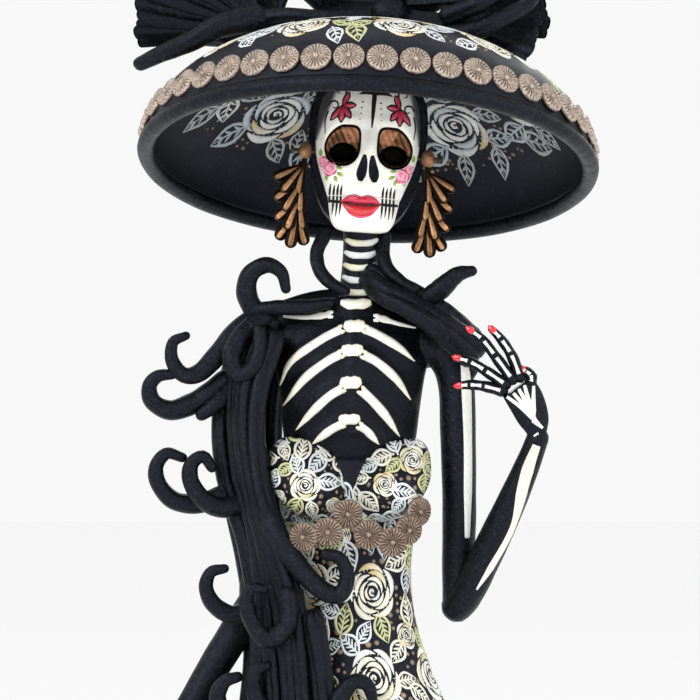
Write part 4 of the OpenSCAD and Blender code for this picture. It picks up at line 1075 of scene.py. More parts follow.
def makeTorso():
    build = Build("torso")
    rings = ovalRings(torsoOvals, 110, 150, 2.15)
    flat = rings.reshape(-1, 3)
    front = flat[:, 1] < 0
    lift = np.zeros(len(flat))
    for line in ribLines:
        p = curvePoints(line, 24)
        d = np.min(np.hypot(flat[:, None, 0] - p[None, :, 0], flat[:, None, 2] - p[None, :, 1]), axis=1)
        lift = np.maximum(lift, 1.9 * np.exp(-((d / 2.9) ** 2)))
    d = (flat[:, 0] - 0.6) / 3.4
    lift = np.maximum(lift, 1.2 * np.exp(-(d**2)) * (flat[:, 2] > 352))
    flat[:, 1] -= (lift - 1.3) * front * np.clip(-flat[:, 1] / 8, 0, 1)
    # the front is painted darker down between the ribs and lighter on them: painted shade
    g = np.append(np.where(front, 0.3 + 0.5 * lift / 1.9, 0.7), [0.7, 0.7])
    build.add(*closedSkin(rings), 0, greys(g))
    m = fromFront(solidTree(build))
    placeBlack(build, "torso")
    ribs = Build("ribs")
    for line, w in zip(ribLines, [1.7, 1.8, 1.8, 1.7, 1.8, 1.8, 1.9, 1.6]):
        layStroke(ribs, m, line, [w * 1.0, w * 0.95, w, w * 0.7, 0.2], boneWhite, 0, sRgb(232, 228, 206),
            0.6, 5, 0.9, 0.8)
        (x0, z0), (x1, z1) = line[0], line[1]
        d = np.array([x0 - x1, z0 - z1]) / math.hypot(x0 - x1, z0 - z1)
        n = np.array([-d[1], d[0]])
        for q in (-1, 1):
            a = np.array(line[0]) - d * 1.2 + n * q * w * 0.45
            b = np.array(line[0]) + d * 1.1 + n * q * w * 0.75
            layStroke(ribs, m, [a, (a + b) / 2, b], [0.5, 0.95, 0.45], sRgb(236, 230, 200), 0, None, 0.62,
                3, 0.7, 0.8)
    place(ribs, [strokePaint], "figure", ["ribs"], "painted_bone")
    breast = Build("breastbone")
    for x, z, h, w in ((1.6, 404.6, 2.2, 6.0), (1.0, 395.8, 2.6, 4.1), (0.1, 386.2, 2.5, 4.2),
            (-0.5, 373.4, 2.6, 4.0), (-1.0, 358.8, 2.2, 4.0)):
        layStroke(breast, m, [(x - w, z + 0.5), (x - w * 0.4, z - 0.3), (x + w * 0.4, z - 0.2),
            (x + w, z + 0.4)], [h * 0.5, h, h * 0.86, h, h * 0.55], boneWhite, 0, sRgb(238, 232, 208), 0.8,
            5, 0.7, 0.8)
    place(breast, [strokePaint], "figure", ["breastbone"], "painted_bone")
    collar = Build("collarBones")
    for line in ([(-8.4, 400.2), (-11, 399.9), (-18.4, 399), (-29, 399.4)],
            [(9.4, 398.8), (12.6, 398.3), (18, 396.6), (25.4, 394.8)]):
        layStroke(collar, m, line, [0.8, 1.5, 0.9, 0.8, 0.6, 0.3], boneWhite, 0, boneWhite, 0.5, 5, 0.8,
            1.2)
        x, z = line[0]
        way = math.copysign(1, x)
        for q in (-1, 1):
            layStroke(collar, m, [(x - way * 0.9, z + q * 1.0), (x + way * 0.6, z + q * 0.8),
                (x + way * 2.4, z + q * 0.4)], [0.5, 0.95, 0.3], boneWhite, 0, None, 0.52, 3, 0.6, 1.2)
    place(collar, [strokePaint], "figure", ["collar_bones"], "painted_bone")


def makeNeck():
    build = Build("neck")
    ovals = [(399, 8.6, 8.6, 1.6, 4), (406, 7.6, 7.8, 2, 4), (416, 7.2, 7.4, 2.8, 3.6),
        (426, 7.4, 7.6, 3.8, 3.2), (440, 8.4, 8.6, 5, 3)]
    rings = ovalRings(ovals, 60, 64)
    build.add(*closedSkin(rings))
    m = fromFront(solidTree(build))
    placeBlack(build, "neck")
    bands = Build("neckBands")
    for i in range(5):
        z, x = 409.6 + i * 4.9, 2.3 + i * 0.42
        w = 6.4
        layStroke(bands, m, [(x - w, z + 1.0), (x - 3, z - 0.5), (x + 3, z - 0.5), (x + w, z + 1.0)],
            [0.8, 1.35, 1.2, 1.35, 0.8], sRgb(222, 226, 226) if i % 2 else sRgb(226, 220, 184), 0,
            sRgb(206, 210, 212), 0.5, 5, 0.9, 0.8)
    place(bands, [strokePaint], "figure", ["neck_bands"], "painted_bone")


pale = sRgb(222, 222, 216)
limbs = dict(
    upperArmLeft=dict(
        nodeName="upper_arm_left", radii=[9.3, 7.4, 7.2, 7, 6.8, 6.5, 6.3],
        path=[(27, 4, 388), (36, 4, 386), (41.5, 3, 374), (42.5, 2, 352), (43, 1, 322), (42.5, 0, 300),
        (42.5, -1, 285)],
        bones=[([(44.6, 389), (45.6, 372), (46.3, 345), (46.0, 311)], [1.6, 2.0, 1.7, 1.7, 1.0], pale,
        boneWhite)]),
    forearmLeft=dict(
        nodeName="forearm_left", radii=[6.3, 6.6, 6.4, 6, 5.2, 4.4],
        path=[(42, -2, 283.5), (46, -5, 289), (54, -11, 306), (63, -17, 326), (69.6, -21, 342),
        (73, -23, 351.4)],
        bones=[([(49.4, 291), (56, 301.7), (63.4, 316), (67.4, 333), (69.6, 341), (72.4, 348.6)],
                [0.4, 1.3, 1.2, 1.2, 2.2, 2.4, 1.6], pale, sRgb(236, 230, 204))]),
    upperArmRight=dict(
        nodeName="upper_arm_right", radii=[9.3, 7.6, 7.4, 7.2, 7, 6.9, 6.7],
        path=[(-27, 5, 391), (-37, 6, 389), (-42, 7, 375), (-42, 8, 350), (-40, 7, 320), (-38.5, 5, 300),
        (-38.5, 3, 287)],
        bones=[([(-40, 384), (-42, 370), (-42, 345), (-40, 318), (-39, 300)],
        [0.8, 1.8, 1.2, 1.1, 1.3, 0.4], pale, boneWhite)]),
    forearmRight=dict(
        nodeName="forearm_right", radii=[6.9, 6.8, 6.4, 6, 5.4, 4.6], bones=[],
        path=[(-38.6, 2, 285), (-44, -1, 277), (-53, -4, 263), (-62, -7, 248), (-71, -9, 233),
        (-77.5, -10, 222)]))
fingerLines = [[(58.8, -28, 370), (52, -30, 371.8), (46.4, -29.6, 372.4), (41.5, -28, 372)],
               [(60, -28.6, 372.6), (52, -31, 378), (46, -30.4, 381.4), (40.8, -28.6, 383)],
               [(62.6, -28.8, 374.6), (56.4, -31, 383), (51, -30.8, 390), (46, -29.4, 394)],
               [(65.6, -28.6, 375.6), (62.4, -30.4, 383.8), (58.4, -30.4, 390), (54.6, -29.2, 394.2)],
               [(70, -27.4, 373.4), (70.2, -28.6, 375.6), (68.6, -29, 377.4), (66.4, -28.6, 378.6)]]


def limb(name, nodeName, path, radii, bones):
    build = Build(name)
    build.add(*sweep(path, radii, 40, 1.2, ref=(0, 1, 0.1), wave=0.012, seed=len(name)))
    m = fromFront(solidTree(build))
    for line, widths, tone, toneEnd in bones:
        layStroke(build, m, line, widths, tone, 1, toneEnd, 0.35, 5, 1.3)
    place(build, [blackClay, strokePaint], "figure", [nodeName], "black_clay")


def palm(name, spots, u, v, bones, nodeName):
    build = Build(name)
    rows = curvePoints([tuple(p) + (w, t) for p, w, t in spots], 20)
    a = circle(36)
    u, v = np.array(u), np.array(v)
    rings = np.array([r[:3] + r[3] * np.cos(a)[:, None] * u - r[4] * np.sin(a)[:, None] * v for r in rows])
    build.add(*closedSkin(rings))
    m = fromFront(solidTree(build))
    for line, widths, tone, toneEnd in bones:
        layStroke(build, m, line, widths, tone, 1, toneEnd, 0.3, 3, 1.0)
    place(build, [blackClay, strokePaint], "figure", [nodeName], "black_clay")


def makeArms():
    for name, limbValues in limbs.items():
        limb(name, **limbValues)
    knuckles = [(58.8, 370), (60.2, 372.8), (62.8, 374.8), (65.8, 375.6), (70, 373.6)]
    fan = []
    for i, (x, z) in enumerate(knuckles):
        line = [(74.6 - 0.9 * i, 355.4 + 0.5 * i), (x * 0.45 + 41 - 0.4 * i, z * 0.45 + 196),
            (x + 1.0, z - 1.6)]
        fan.append((line, [0.5, 1.0, 0.75, 0.5], boneWhite, boneWhite))
    wrist = [([(71.4, 352.2), (74.6, 353.4), (77.0, 353.8)], [0.5, 1.2, 0.6], boneWhite, boneWhite)]
    palm("handLeft", [((73, -23, 351.6), 4.6, 3.4), ((73, -24, 356), 5.4, 3.2),
        ((70.8, -25.4, 361), 6.8, 3.2), ((68, -27, 366.6), 7.3, 3), ((64.8, -28.4, 371.4), 7, 2.6)],
        (0.8, 0.15, 0.58), (-0.1, 1, 0.1), fan + wrist, "hand_left")
    palm("handRight", [((-77.4, -10, 222), 4.5, 3.4), ((-80, -10.6, 216.6), 5.8, 3.2),
        ((-83, -11.4, 210.4), 6.8, 3), ((-85.6, -12.4, 204.6), 6.4, 2.6)], (-0.86, -0.1, 0.5), (0, -1, 0),
        [([(-78.5 - i * 0.3, 219), (-80.2 - i * 1.2, 212), (-80.8 - i * 2.1, 205.6 + i * 0.8)],
        [0.3, 0.8, 0.5, 0.3], boneWhite, boneWhite) for i in range(4)], "hand_right")
    rightLines = []
    for i in range(4):
        b = np.array([-89.6 + i * 2.9, -12 - i * 0.3, 207.6 - i * 1.9])
        rightLines.append([b, b + [-3.4 + i * 0.7, -1.4, -7], b + [-4.2 + i * 1.2, -0.8, -13],
            b + [-3.4 + i * 1.6, 1.2, -18.5]])
    rightLines.append([(-77, -12, 213), (-75, -15, 206), (-75.5, -17, 200)])
    for name, lines, nodeName, nailNode in (("fingersLeft", fingerLines, "fingers_left", "nails_left"),
            ("fingersRight", rightLines, "fingers_right", "nails_right")):
        build, nails = Build(name), Build(name.replace("fingers", "nails"))
        for line in lines:
            one = Build("one")
            one.add(*sweep(line, np.array([2.5, 2.2, 2.35, 2.0, 2.1, 1.75, 1.5])
                * (0.9 if lines is rightLines else 1), 18, 0.7, ref=(0, 1, 0.1)))
            build.add(one.verts[0], one.faces)
            m = fromFront(solidTree(one))
            p = curvePoints(line, 40)
            for a, b in ((2, 16), (19, 28), (31, 36)):
                q = p[[a, (a + b) // 2, b]][:, [0, 2]]
                layStroke(build, m, q, [0.75, 0.5, 0.7], boneWhite, 1, boneWhite, 0.22, 3, 0.9)
            d = p[-1] - p[-4]
            d /= np.linalg.norm(d)
            tip = p[-1] + np.array([0, -0.9, 0]) + d * 0.2
            across = np.cross(d, (0, 1, 0))
            across /= np.linalg.norm(across)
            up = np.cross(across, d)
            up = up if up[1] < 0 else -up
            rings = []
            for t, w, h in ((-1.5, 0.9, 0.2), (-0.8, 1.25, 0.5), (0.4, 1.3, 0.62), (1.4, 1.05, 0.5),
                    (2.2, 0.6, 0.3), (2.6, 0.2, 0.1)):
                a = circle(16)
                rings.append(tip - d * 0.9 + d * t + across * (w * np.cos(a))[:, None] + up
                    * (h * np.sin(a))[:, None] + up * 0.35)
            verts, faces = closedSkin(np.array(rings))
            if np.dot(np.cross(across, up), d) < 0:
                faces = [f[::-1] for f in faces]
            nails.add(verts, faces, 0, sRgb(204, 38, 46))
        place(build, [blackClay, strokePaint], "figure", [nodeName], "black_clay")
        place(nails, [lipPaint], "figure", [nailNode], "red_paint")


makeTorso()
makeNeck()
makeArms()
print("body and arms modelled")


# hat
flowerLift = np.array([0, 0, 3.0])


def onTop(tree, below):
    # lays a flat drawing over the hat's upper face, or its inside when below
    way = hatTurn @ np.array([0, 0, 1.0 if below else -1.0])
    return lambda u, v: towards(tree, onHat((u, v, -60 if below else 120)), way)


def makeHatBowl():
    build = Build("hatBowl")
    t = np.radians(np.linspace(0, 84, 44))
    radius, height, wall = hat["radius"], hat["height"], hat["wall"]
    outer = np.stack([radius * np.cos(t), height * np.sin(t)], 1)
    inner = np.stack([(radius - wall) * np.cos(t), (height - wall) * np.sin(t)], 1)[::-1]
    profile = np.vstack([outer, [[9, height]], [[9, height - wall]], inner])
    count = 180
    phi = circle(count)
    rings = np.empty((len(profile), count, 3))
    ripple = 1 + 0.0035 * np.sin(phi * 5 + 1) + 0.002 * np.sin(phi * 11)
    for i, (r, z) in enumerate(profile):
        swell = ripple ** (r / radius)
        reach = r - 0.5 if r > 60 else r
        rings[i] = np.stack([reach * np.cos(phi) * swell, reach * np.sin(phi) * swell, np.full(count, z)],
            1)
    build.add(onHat(rings.reshape(-1, 3)), ringFaces(len(profile), count, True), 0)
    tree = solidTree(build)
    inside, top = onTop(tree, True), onTop(tree, False)
    rng = np.random.default_rng(21)

    def ringSample(r0, r1):
        def sample(g):
            a, r = g.uniform(0, 2 * np.pi), math.sqrt(g.uniform(r0 * r0, r1 * r1))
            return r * math.cos(a), r * math.sin(a)
        return sample

    def roseRing(count, shift, radius, size):
        return [(radius * math.cos(a), radius * math.sin(a), size)
            for a in (np.arange(count) + shift) * 2 * math.pi / count]
    roses = roseRing(9, 0.3, 58, 13.6) + roseRing(5, 0.2, 33, 9.5)
    strew(build, ringSample(14, 76), lambda u, v: (inside, u, v), flatOffset, roses, rng, hatTones, 13.5,
        2200, 1500, 2.6, 3, (0.6, 1.1))
    roses = roseRing(12, 0.25, 71, 10.2)
    strew(build, ringSample(40, 81), lambda u, v: (top, u, v), flatOffset, roses, rng, gownTones, 11.5,
        1300, 700, 2.7, 3, (0.5, 0.9))
    place(build, [charcoalGround, strokePaint], "hat", ["hat_bowl"], "painted_clay")


def makeHatLipAndCrown():
    lip = Build("hatLip")
    rows, cols = 220, 26
    rings = np.empty((rows, cols, 3))
    psi = circle(cols)
    for i in range(rows):
        a = 2 * math.pi * i / rows
        r = hat["lip"] * (1 - 0.02 * (1 + math.sin(a * 7)) - 0.012 * (1 + math.sin(a * 17 + 1)))
        reach = hat["radius"] - hat["wall"] / 2 + r * np.cos(psi)
        rings[i] = np.stack([reach * math.cos(a), reach * math.sin(a), r * np.sin(psi) - hat["lipDrop"]], 1)
    lip.add(onHat(rings.reshape(-1, 3)), [f[::-1] for f in ringFaces(rows, cols, True)], 0,
        (0.8, 0.8, 0.82, 1))
    placeBlack(lip, "hat_lip", "hat")
    crown = Build("hatCrown")
    dome = lambda r: hat["height"] * math.sqrt(1 - (r / hat["radius"]) ** 2)
    profile = [(33.6, dome(33.6)), (30.5, 51.6), (26.4, 57.2), (25, 58), (9.3, 58), (9.3, dome(9.3)),
        (18, dome(18)), (26, dome(26))]
    phi = circle(90)
    rings = np.array([np.stack([r * np.cos(phi), r * np.sin(phi), np.full(90, z)], 1) for r, z in profile])
    crown.add(onHat(rings.reshape(-1, 3)), ringFaces(len(profile), 90, True), 0)
    placeBlack(crown, "hat_crown", "hat")


def fanLeaf(build, at, tip, a0, a1, r0, r1, ridges, amp, bow, thick, fine=2, scallop=0.06):
    # a pressed clay leaf or petal: broad pleats with finer ribs along them and a scalloped edge
    rows, cols = 34, max(60, int(ridges * fine * 12))
    s = np.linspace(0, 1, cols + 1)
    angle = np.radians(a0 + (a1 - a0) * s)
    turn = np.array(Matrix.Rotation(math.radians(tip), 3, "X"))
    front, back, tone = [], [], []
    broad = np.cos(2 * np.pi * ridges * s)
    ribs = np.abs(np.cos(np.pi * ridges * fine * s)) ** 0.7
    for i in range(rows + 1):
        t = i / rows
        r = (r0 + (r1 - 0.4 - r0) * t) * (1 - 0.7 * scallop * t
            * (1 - np.abs(np.sin(np.pi * ridges * s)) ** 0.6) - 0.3 * scallop * t * (1 - ribs))
        fade = min(1, t * 2.2)
        y = bow * t * t + amp * t * broad
        edge = 1 - 0.55 * max(0, (t - 0.9) / 0.1) ** 2
        lift = (0.8 * (1 - ribs) * fade if fine > 1 else 0.0) + 0 * s
        half = thick * 0.5 * edge * (1 - 0.75 * np.maximum(0, np.abs(2 * s - 1) - 0.93) / 0.07)
        mid = y + thick * 0.5
        front.append(np.stack([r * np.cos(angle), mid - half + lift, r * np.sin(angle)], 1))
        back.append(np.stack([r * np.cos(angle), mid + half - lift, r * np.sin(angle)], 1)[::-1])
        # the tint is painted darker in the hollows between the fine ribs: painted shade
        g = 0.6 + 0.4 * ribs if fine > 1 else np.ones_like(s)
        tone.append(np.concatenate([g, g[::-1]]))
    rings = np.concatenate([np.array(front), np.array(back)], 1)
    n = rings.shape[1]
    verts = rings.reshape(-1, 3) @ turn.T + np.array(at) + flowerLift
    faces = ringFaces(rows + 1, n)
    for row, flip in ((0, False), (rows, True)):
        for j in range(cols):
            q = [row * n + j, row * n + j + 1, row * n + n - 2 - j, row * n + n - 1 - j]
            faces.append(q if not flip else q[::-1])
    a, b, c = (verts[i] for i in faces[5][:3])
    if np.dot(np.cross(b - a, c - b), turn @ np.array([0, -1.0, 0])) < 0:
        faces = [f[::-1] for f in faces]
    g = np.array(tone).ravel()
    build.add(verts, faces, 0, greys(g))


def roll(build, points, radii, lobes=3, seed=1, depth=0.27, ref=(0, 1, 0.05), sides=30):
    build.add(*sweep(points, radii, sides, 1.1, lobes, depth, 0.7, ref, wave=0.03, seed=seed))


def curlRadii(r0, r2):
    return [r0, r0 * 0.96, (r0 * 0.96 + r2) * 0.54, r2]


# fans: place, tip, first and last angle, inner and outer radius, pleats, their height, bow, thickness,
# then ribs in a pleat and scallop of the edge where they differ
flowers = dict(
    fanLeaves=[
        ((-36, 2, 512), -12, 96, 192, 6, 51.6, 7, 1.6, -10, 3.2),
        ((-30, 14, 514), -6, 70, 160, 6, 51.5, 6, 1.5, -4, 3.2),
        ((-30, 34, 506), 14, 100, 178, 6, 47.6, 6, 1.5, 8, 3.2),
        ((40, 36, 506), 14, 4, 84, 6, 37.6, 6, 1.5, 8, 3.2)],
    rolledPetals=[
        ([(-84, -9, 497), (-74, -15, 501), (-63, -20, 505), (-51, -22, 511), (-38, -21, 513.6)],
        [3.1, 4.4, 5.5], 3, 3, 0.2),
        ([(-42, -16, 512), (-28, -22, 514), (-12, -25, 512.6), (2, -24, 511)], curlRadii(4.4, 3), 3, 4),
        ([(36, -20, 507), (48, -24, 508.6), (60, -23, 514), (70, -19, 520), (74, -16, 526.6)],
        curlRadii(4.4, 2), 3, 5),
        ([(38, -22, 515), (50, -25, 519), (59, -24, 525.4), (62, -22, 534)], curlRadii(4, 2), 3, 6)],
    callaPetals=[
        ((14, -3, 520), -14, 60, 175, 4, 41.8, 1, 0.5, -9, 3, 1, 0.04),
        ((18, -9, 520), -14, 0, 92, 4, 41.8, 1, 0.5, -9, 3, 1, 0.04),
        ((12, -15, 518), -30, 182, 250, 4, 29.8, 1, 0.5, -3, 3, 1, 0.04),
        ((20, -15, 518), -30, -60, -6, 4, 29.8, 1, 0.5, -3, 3, 1, 0.04)],
    callaButton=((14.4, -17, 519.4), (7.1, 5.7, 6.4)),
    curledPetals=[((42, -9, 514), -18, -40, 60, 5, 33.8, 4, 1.2, -6, 3),
    ((40, 4, 514), -18, -12, 84, 5, 39.8, 5, 1.2, -6, 3)],
    plumes=[
        ((-6, 10, 512), 4, 62, 138, 8, 57.5, 6, 1.6, 2, 3.4),
        ((20, 19, 512), 4, 30, 112, 8, 57.5, 6, 1.6, 2, 3.4),
        ((6, 28, 510), 4, 40, 140, 8, 51.8, 6, 1.6, 2, 3.4)])


def makeFans(name, nodeName):
    build = Build(name)
    for leaf in flowers[name]:
        fanLeaf(build, *leaf)
    placeBlack(build, nodeName, "hat")


def makeFlowers():
    makeFans("fanLeaves", "fan_leaves")
    rolled = Build("rolledPetals")
    for petal in flowers["rolledPetals"]:
        roll(rolled, *petal)
    rolled.verts = [v + flowerLift for v in rolled.verts]
    placeBlack(rolled, "rolled_petals", "hat")
    makeFans("callaPetals", "calla_petals")
    button = Build("callaButton")
    dimple = lambda p: 1 - 0.03 * (1 + np.sin(p[:, 0] * 1.3) * np.sin(p[:, 2] * 1.3))
    button.add(*ballSkin(*flowers["callaButton"], 30, 44, dimple))
    placeBlack(button, "calla_button", "hat")
    makeFans("curledPetals", "curled_petals")
    makeFans("plumes", "plumes")


def ballSkin(centre, size, rows, cols, shape=None):
    t = np.linspace(-0.5 * np.pi + 0.12, 0.5 * np.pi - 0.12, rows)
    phi = circle(cols)
    rings = np.array([np.stack([np.cos(a) * np.cos(phi), np.cos(a) * np.sin(phi),
        np.full(cols, math.sin(a))], 1) for a in t])
    flat = rings.reshape(-1, 3) * np.array(size)
    if shape is not None:
        flat = flat * shape(flat)[:, None]
    verts, faces = closedSkin((flat + np.array(centre)).reshape(rings.shape))
    return verts, faces


makeHatBowl()
makeHatLipAndCrown()
makeFlowers()
print("hat modelled")


# feather scarf: grooved strands ending in curls
longPaths = [[(-40, -8, 392), (-45, -11, 370), (-43.6, -14, 340), (-37, -18, 312), (-33, -21, 282),
    (-30, -24, 252), (-29, -26, 216), (-29, -27, 186), (-34, -28, 168), (-42, -28, 170), (-42, -28, 179)],
    [(-45, -2, 386), (-51, -5, 362), (-49.4, -8, 336), (-41, -12, 308), (-36.4, -17, 280), (-36, -19, 248),
    (-38, -20, 216), (-41.6, -22, 192), (-49, -22, 176), (-57, -22, 180), (-56, -22, 189)],
    [(-31, -14, 390), (-38, -17, 366), (-37.4, -21, 336), (-29, -25, 306), (-21.6, -27, 280),
    (-18.6, -29.4, 250), (-17, -31, 220), (-15.6, -32, 190), (-10, -33, 172), (-2, -33, 172),
    (-1, -33, 181)], [(-35.6, -13, 388), (-42, -15.6, 368), (-40.6, -18.6, 338), (-33, -22.4, 308),
    (-26.4, -25, 280), (-24, -28, 250), (-22.8, -29.6, 218), (-22.4, -30, 184), (-22, -30, 158)],
    [(-15, -29, 280), (-12, -31, 262), (-9.6, -33, 238), (-8.6, -34.6, 210), (-6, -34, 190), (2, -34, 182),
    (8, -34, 188), (6, -34, 196)]]
backPaths = [
    ([(-44, 6, 388), (-49, 8, 360), (-48, 8, 330), (-42, 5, 302), (-39, 2, 274), (-42, -2, 242),
    (-48, -4, 218), (-57, -5, 204), (-65, -5, 210), (-63, -5, 219)],
     [5, 5, 2], (0, 1, 0.05)),
    ([(-36, 14, 392), (-44, 17, 366), (-45, 18, 335), (-41, 18, 300), (-40, 18, 262), (-41, 19, 225),
    (-44, 19, 196), (-52, 19, 184), (-58, 19, 191)],
     [5.4, 5, 2], (0, 1, 0.05)),
    ([(-22, 17, 396), (-32, 20, 370), (-33, 20, 336), (-28, 20, 300), (-27, 22, 262), (-27, 26, 226),
    (-26, 28, 192), (-20, 29, 176), (-12, 29, 182)],
     [5.4, 5, 2], (0, 1, 0.05)),
    ([(-34, 12, 398), (-18, 17, 404), (0, 18.4, 406), (18, 16, 402), (34, 10, 394), (46, 2, 386)],
    [5.4, 5.6, 5], (0, 0.2, 1)),
    ([(-38, 12, 390), (-20, 18.6, 395), (0, 20, 397), (18, 18, 393), (36, 11, 385), (46, 3, 378)],
    [5, 5.4, 4.6], (0, 0.2, 1))]
curls = dict(
    scarfShoulderWrap=("scarf_shoulder_wrap", [
        ([(7, -4, 414), (12, -10, 410.4), (22, -12, 405), (32, -12, 398.4), (41, -9.6, 392.6),
        (48.4, -5, 387.6)], 4.6, 5.6),
        ([(8.6, -7.4, 410), (13.4, -12.6, 406.4), (22, -16, 402), (30, -16.6, 397), (38.6, -13.6, 390),
        (46, -8.6, 383.6)], 3.6, 4.8),
        ([(8, -2, 417), (18, -4, 412.6), (28, -5, 406.6), (38, -4, 399), (47, -1, 391)], 4, 5.4),
        ([(30, -6, 406), (36, -8, 411), (42, -9, 416), (47.6, -9, 417.4)], 4.6, 2.2)]),
    scarfNeckLoops=("scarf_neck_loops", [
        ([(-11, 1, 432), (-14, -2, 425), (-13, -5, 418), (-9, -7, 413), (-3, -8, 409.6)], 3, 2.4),
        ([(13, 1, 432), (12.4, -2, 425), (14, -6, 418.6), (19, -9, 413.4), (24, -9, 410)], 3, 2.4)]),
    scarfTopHook=("scarf_top_hook", [
        ([(-33, -6, 396.6), (-38.8, -8, 401.6), (-42, -10.6, 408.8), (-40.4, -12, 416.2),
        (-33.8, -13, 419.8), (-28, -13, 416.8), (-26.2, -13, 410.4)], 4.6, 2.1),
        ([(-39, -9, 401.8), (-29, -11.4, 402.8), (-18, -11, 403.2), (-9.4, -7, 404.6)], 3.4, 2.2),
        ([(-35.4, -9, 399), (-43.6, -13, 391.4), (-47.6, -16, 382.8), (-44.4, -17.4, 376.4),
        (-39.4, -18.4, 379), (-36.6, -19, 386.6), (-36.4, -18.4, 393.4)], 4.4, 2.8)]),
    scarfUpperCurls=("scarf_upper_curls", [
        ([(-38, -4, 399), (-46, -6, 393), (-54, -9, 383.4), (-60.8, -11, 376.8), (-67, -12, 376.2),
        (-71.4, -12, 382), (-71, -12, 389), (-66, -12, 391.6)], 4.6, 1.9),
        ([(-50, -5, 374), (-57, -7, 368.4), (-64.4, -8, 364.2), (-72.4, -10, 362), (-79.2, -11, 365.6),
        (-80.4, -12, 371.6), (-77, -12, 375.6), (-71.4, -12, 376.4)], 4.8, 2.2),
        ([(-48, -8, 370), (-54, -11, 364.6), (-59.6, -12, 360.4)], 4, 2.6)]),
    scarfMiddleCurls=("scarf_middle_curls", [
        ([(-44, -6, 331), (-51, -8, 328.4), (-60.4, -10, 325), (-70.6, -11, 326.2), (-76.8, -12, 333),
        (-77.6, -12, 340), (-73.4, -12, 345), (-67.4, -12, 343.4)], 4.4, 2.1),
        ([(-40, -12, 327), (-45.4, -14, 324.4), (-52.4, -16, 323.6), (-59.4, -17, 327.4),
        (-63.8, -17, 334.4), (-63.4, -17, 341), (-58.8, -17, 344), (-55.4, -17, 339.6)], 4.4, 2.1)]),
    scarfLowerCurls=("scarf_lower_curls", [
        ([(-36, -17, 285), (-41, -18.4, 282.8), (-48.2, -20, 281.8), (-54.8, -20, 286), (-57.6, -20, 292.6),
        (-55.6, -20, 298.4), (-50.4, -20, 299.8)], 4, 2),
        ([(-25, -29, 290), (-24.6, -30.6, 282), (-27, -31.4, 276), (-33.2, -32, 273), (-38.9, -32, 279),
        (-41.4, -32, 287.2), (-39.4, -32, 293), (-34.6, -32, 292.6)], 4.2, 2),
        ([(-46, -20, 236), (-51, -22, 243), (-53, -23, 250), (-50, -23, 255.6), (-45, -23, 257.4)], 4.2,
        2.2),
        ([(-33, -24, 238), (-36.6, -26, 247), (-38.8, -27, 255), (-37.4, -27, 260.6), (-33.6, -27, 262.4)],
        4, 2),
        ([(-9, -33, 236), (-6, -34, 248), (0, -34.4, 256.4), (6, -34.4, 255.4), (8.4, -34.4, 248)], 4.2,
        2)]),
    scarfFrontStrand=("scarf_front_strand", [
        ([(-38, -15, 346), (-35.8, -19, 330.6), (-30.4, -25, 315), (-21.2, -28.6, 301.4), (-12, -31, 292.4),
        (-5, -31.8, 290.4), (-1.8, -32, 297.2), (-4.6, -32, 304.6), (-10, -32, 306.2)], 5.2, 2.5)]))


def makeScarf():
    for name, (nodeName, paths) in curls.items():
        build = Build(name)
        for k, (path, r0, r2) in enumerate(paths):
            roll(build, path, curlRadii(r0, r2), 3, seed=k + len(name), depth=0.09)
        placeBlack(build, nodeName)
    build = Build("scarfLongStrands")
    for k, path in enumerate(longPaths):
        roll(build, path, [4.8, 4.8, 2], 5, seed=40 + k, depth=0.3, sides=40)
    placeBlack(build, "scarf_long_strands")
    build = Build("scarfBackStrands")
    for k, (path, radii, ref) in enumerate(backPaths):
        roll(build, path, radii, 4, seed=50 + k, depth=0.3, ref=ref)
    placeBlack(build, "scarf_back_strands")


makeScarf()
print("scarf modelled")


# earrings: a bead with a bunch of leaves
def blade(build, points, wide, thick, rng):
    # one pressed leaf, broad and round at its end: brushed bronze on the face, black at its edges and back
    count = 30
    path = curvePoints(points, count)
    t = np.linspace(0, 1, count)
    w = wide * (0.22 + 0.78 * t**0.75) * np.sqrt(1 - 0.985 * np.clip((t - 0.74) / 0.26, 0, 1) ** 2)
    tangent = np.gradient(path, axis=0)
    tangent /= np.linalg.norm(tangent, axis=1)[:, None]
    across = [-1, -0.88, -0.74, -0.58, -0.45, -0.34, -0.12, 0.12, 0.34, 0.45, 0.58, 0.74, 0.88, 1, 0.6, 0,
        -0.6]
    up = [0.0, 0.3, 0.42, 0.48, 0.76, 0.92, 1.0, 1.0, 0.92, 0.76, 0.48, 0.42, 0.3, 0.0, -0.5, -0.66, -0.5]
    streak = rng.uniform(0.5, 1.45, len(across))
    rings, tone = [], []
    for i in range(count):
        v = np.array([0.0, -1.0, 0.0])
        v = v - tangent[i] * np.dot(v, tangent[i])
        v /= np.linalg.norm(v)
        u = np.cross(v, tangent[i])
        h = thick * min(1.0, w[i] / wide + 0.15)
        rings.append([path[i] + u * a * w[i] + v * b * h for a, b in zip(across, up)])
        face = 1 / (1 + math.exp(-(t[i] - 0.2) * 26)) / (1 + math.exp((t[i] - 0.94) * 60))
        tone.append([0.03 + (face * k * rng.uniform(0.8, 1.2) if abs(a) < 0.4 and b > 0 else 0)
            for a, b, k in zip(across, up, streak)])
    rings = np.array(rings)
    verts, faces = closedSkin(rings)
    a, b, c = rings[3, 3], rings[3, 4], rings[4, 3]
    if np.dot(np.cross(b - a, c - a), np.array([0, -1.0, 0])) > 0:
        faces = [f[::-1] for f in faces]
    g = np.append(np.array(tone).ravel(), [0.03, 0.03])
    build.add(verts, [f[::-1] for f in faces], 0, np.stack([g, g * 0.97, g * 0.93, np.ones_like(g)], 1))


ear = dict(out=24.6, y=-3, z=-2, bead=(2.6, 2.9, 3.7), leafWide=3.0, leafThick=1.35)


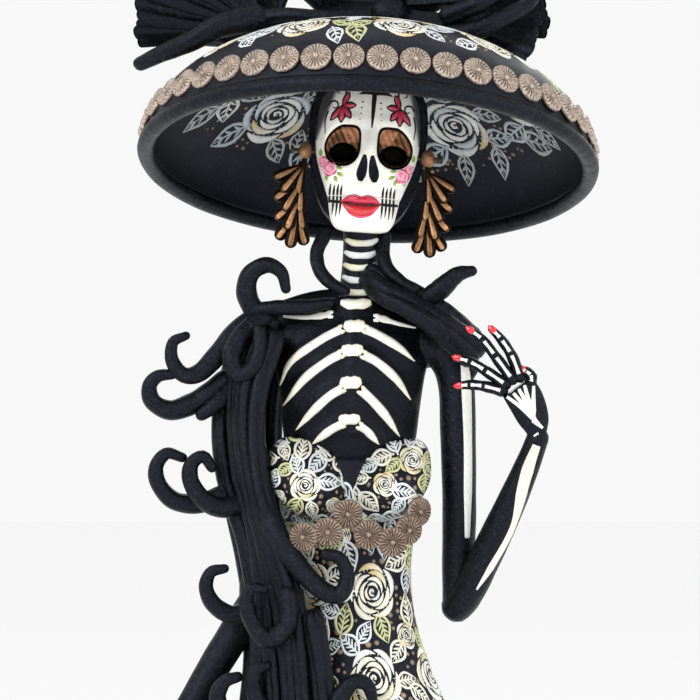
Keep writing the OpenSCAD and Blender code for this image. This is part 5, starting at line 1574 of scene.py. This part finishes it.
def makeEarring(s, side):
    pin = np.array([s * ear["out"], ear["y"], ear["z"]])
    bead = Build("earringBead" + side.capitalize())
    bead.add(*ballSkin((0, 0, 0), ear["bead"], 22, 30), 0, (0.8, 0.76, 0.72, 1))
    bead.verts[0] = onHead(bead.verts[0] + pin)
    place(bead, [bronzeClay], "earring_" + side, ["earring_bead_" + side], "bronze_clay")
    build = Build("earringLeaves" + side.capitalize())
    verts, faces, _, _ = sweep([(0, 0, -2.8), (s * 0.5, 0, -12), (s * 1.2, 0, -20), (s * 1.6, 0, -27)],
        [1.2, 1.35, 1.1], 14, 0.8, ref=(0, 1, 0))
    build.add(verts, faces, 0, (0.05, 0.045, 0.04, 1))
    rng = np.random.default_rng(31)
    for row in (3, 2, 1, 0):
        for k in (0, 2, 1):
            turn = math.radians(s * (8 - row * 9 + k * 27))
            reach, lean = (13, -3.4) if k == 1 else (12, -1)
            start = np.array([s * (0.3 + row * 0.42), -0.3, -6 - row * 6.6])
            way = np.array([math.sin(turn), 0, -math.cos(turn)])
            points = [start, start + way * reach * 0.5 + [0, lean * 0.7, 0],
                start + way * (reach + 0.8) + [0, lean, 0]]
            blade(build, points, ear["leafWide"], ear["leafThick"], rng)
    build.verts = [onHead(v + pin) for v in build.verts]
    place(build, [bronzeClay], "earring_" + side, ["earring_leaves_" + side], "bronze_clay")


makeEarring(-1, "right")
makeEarring(1, "left")
print("earrings modelled")

# finishes for what stays as drawn, and the floor
inner = dict(spine_rod=wireMetal, arm_wire_left=wireMetal, arm_wire_right=wireMetal, hat_peg=paleWood,
    hat_seat=paleWood, hat_socket=stainedWood, ear_pins=brassWire)
for name, material in inner.items():
    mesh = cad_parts[name].data
    mesh.materials.clear()
    mesh.materials.append(material)
bpy.data.objects.remove(rosetteShape)
plane = bpy.data.meshes.new("floorPlane")
plane.from_pydata([(-6, -6, 0), (6, -6, 0), (6, 6, 0), (-6, 6, 0)], [], [[0, 1, 2, 3]])
floor = bpy.data.objects.new("floorPlane", plane)
plane.materials.append(floorPaint)
scene.collection.objects.link(floor)
print("scene complete")
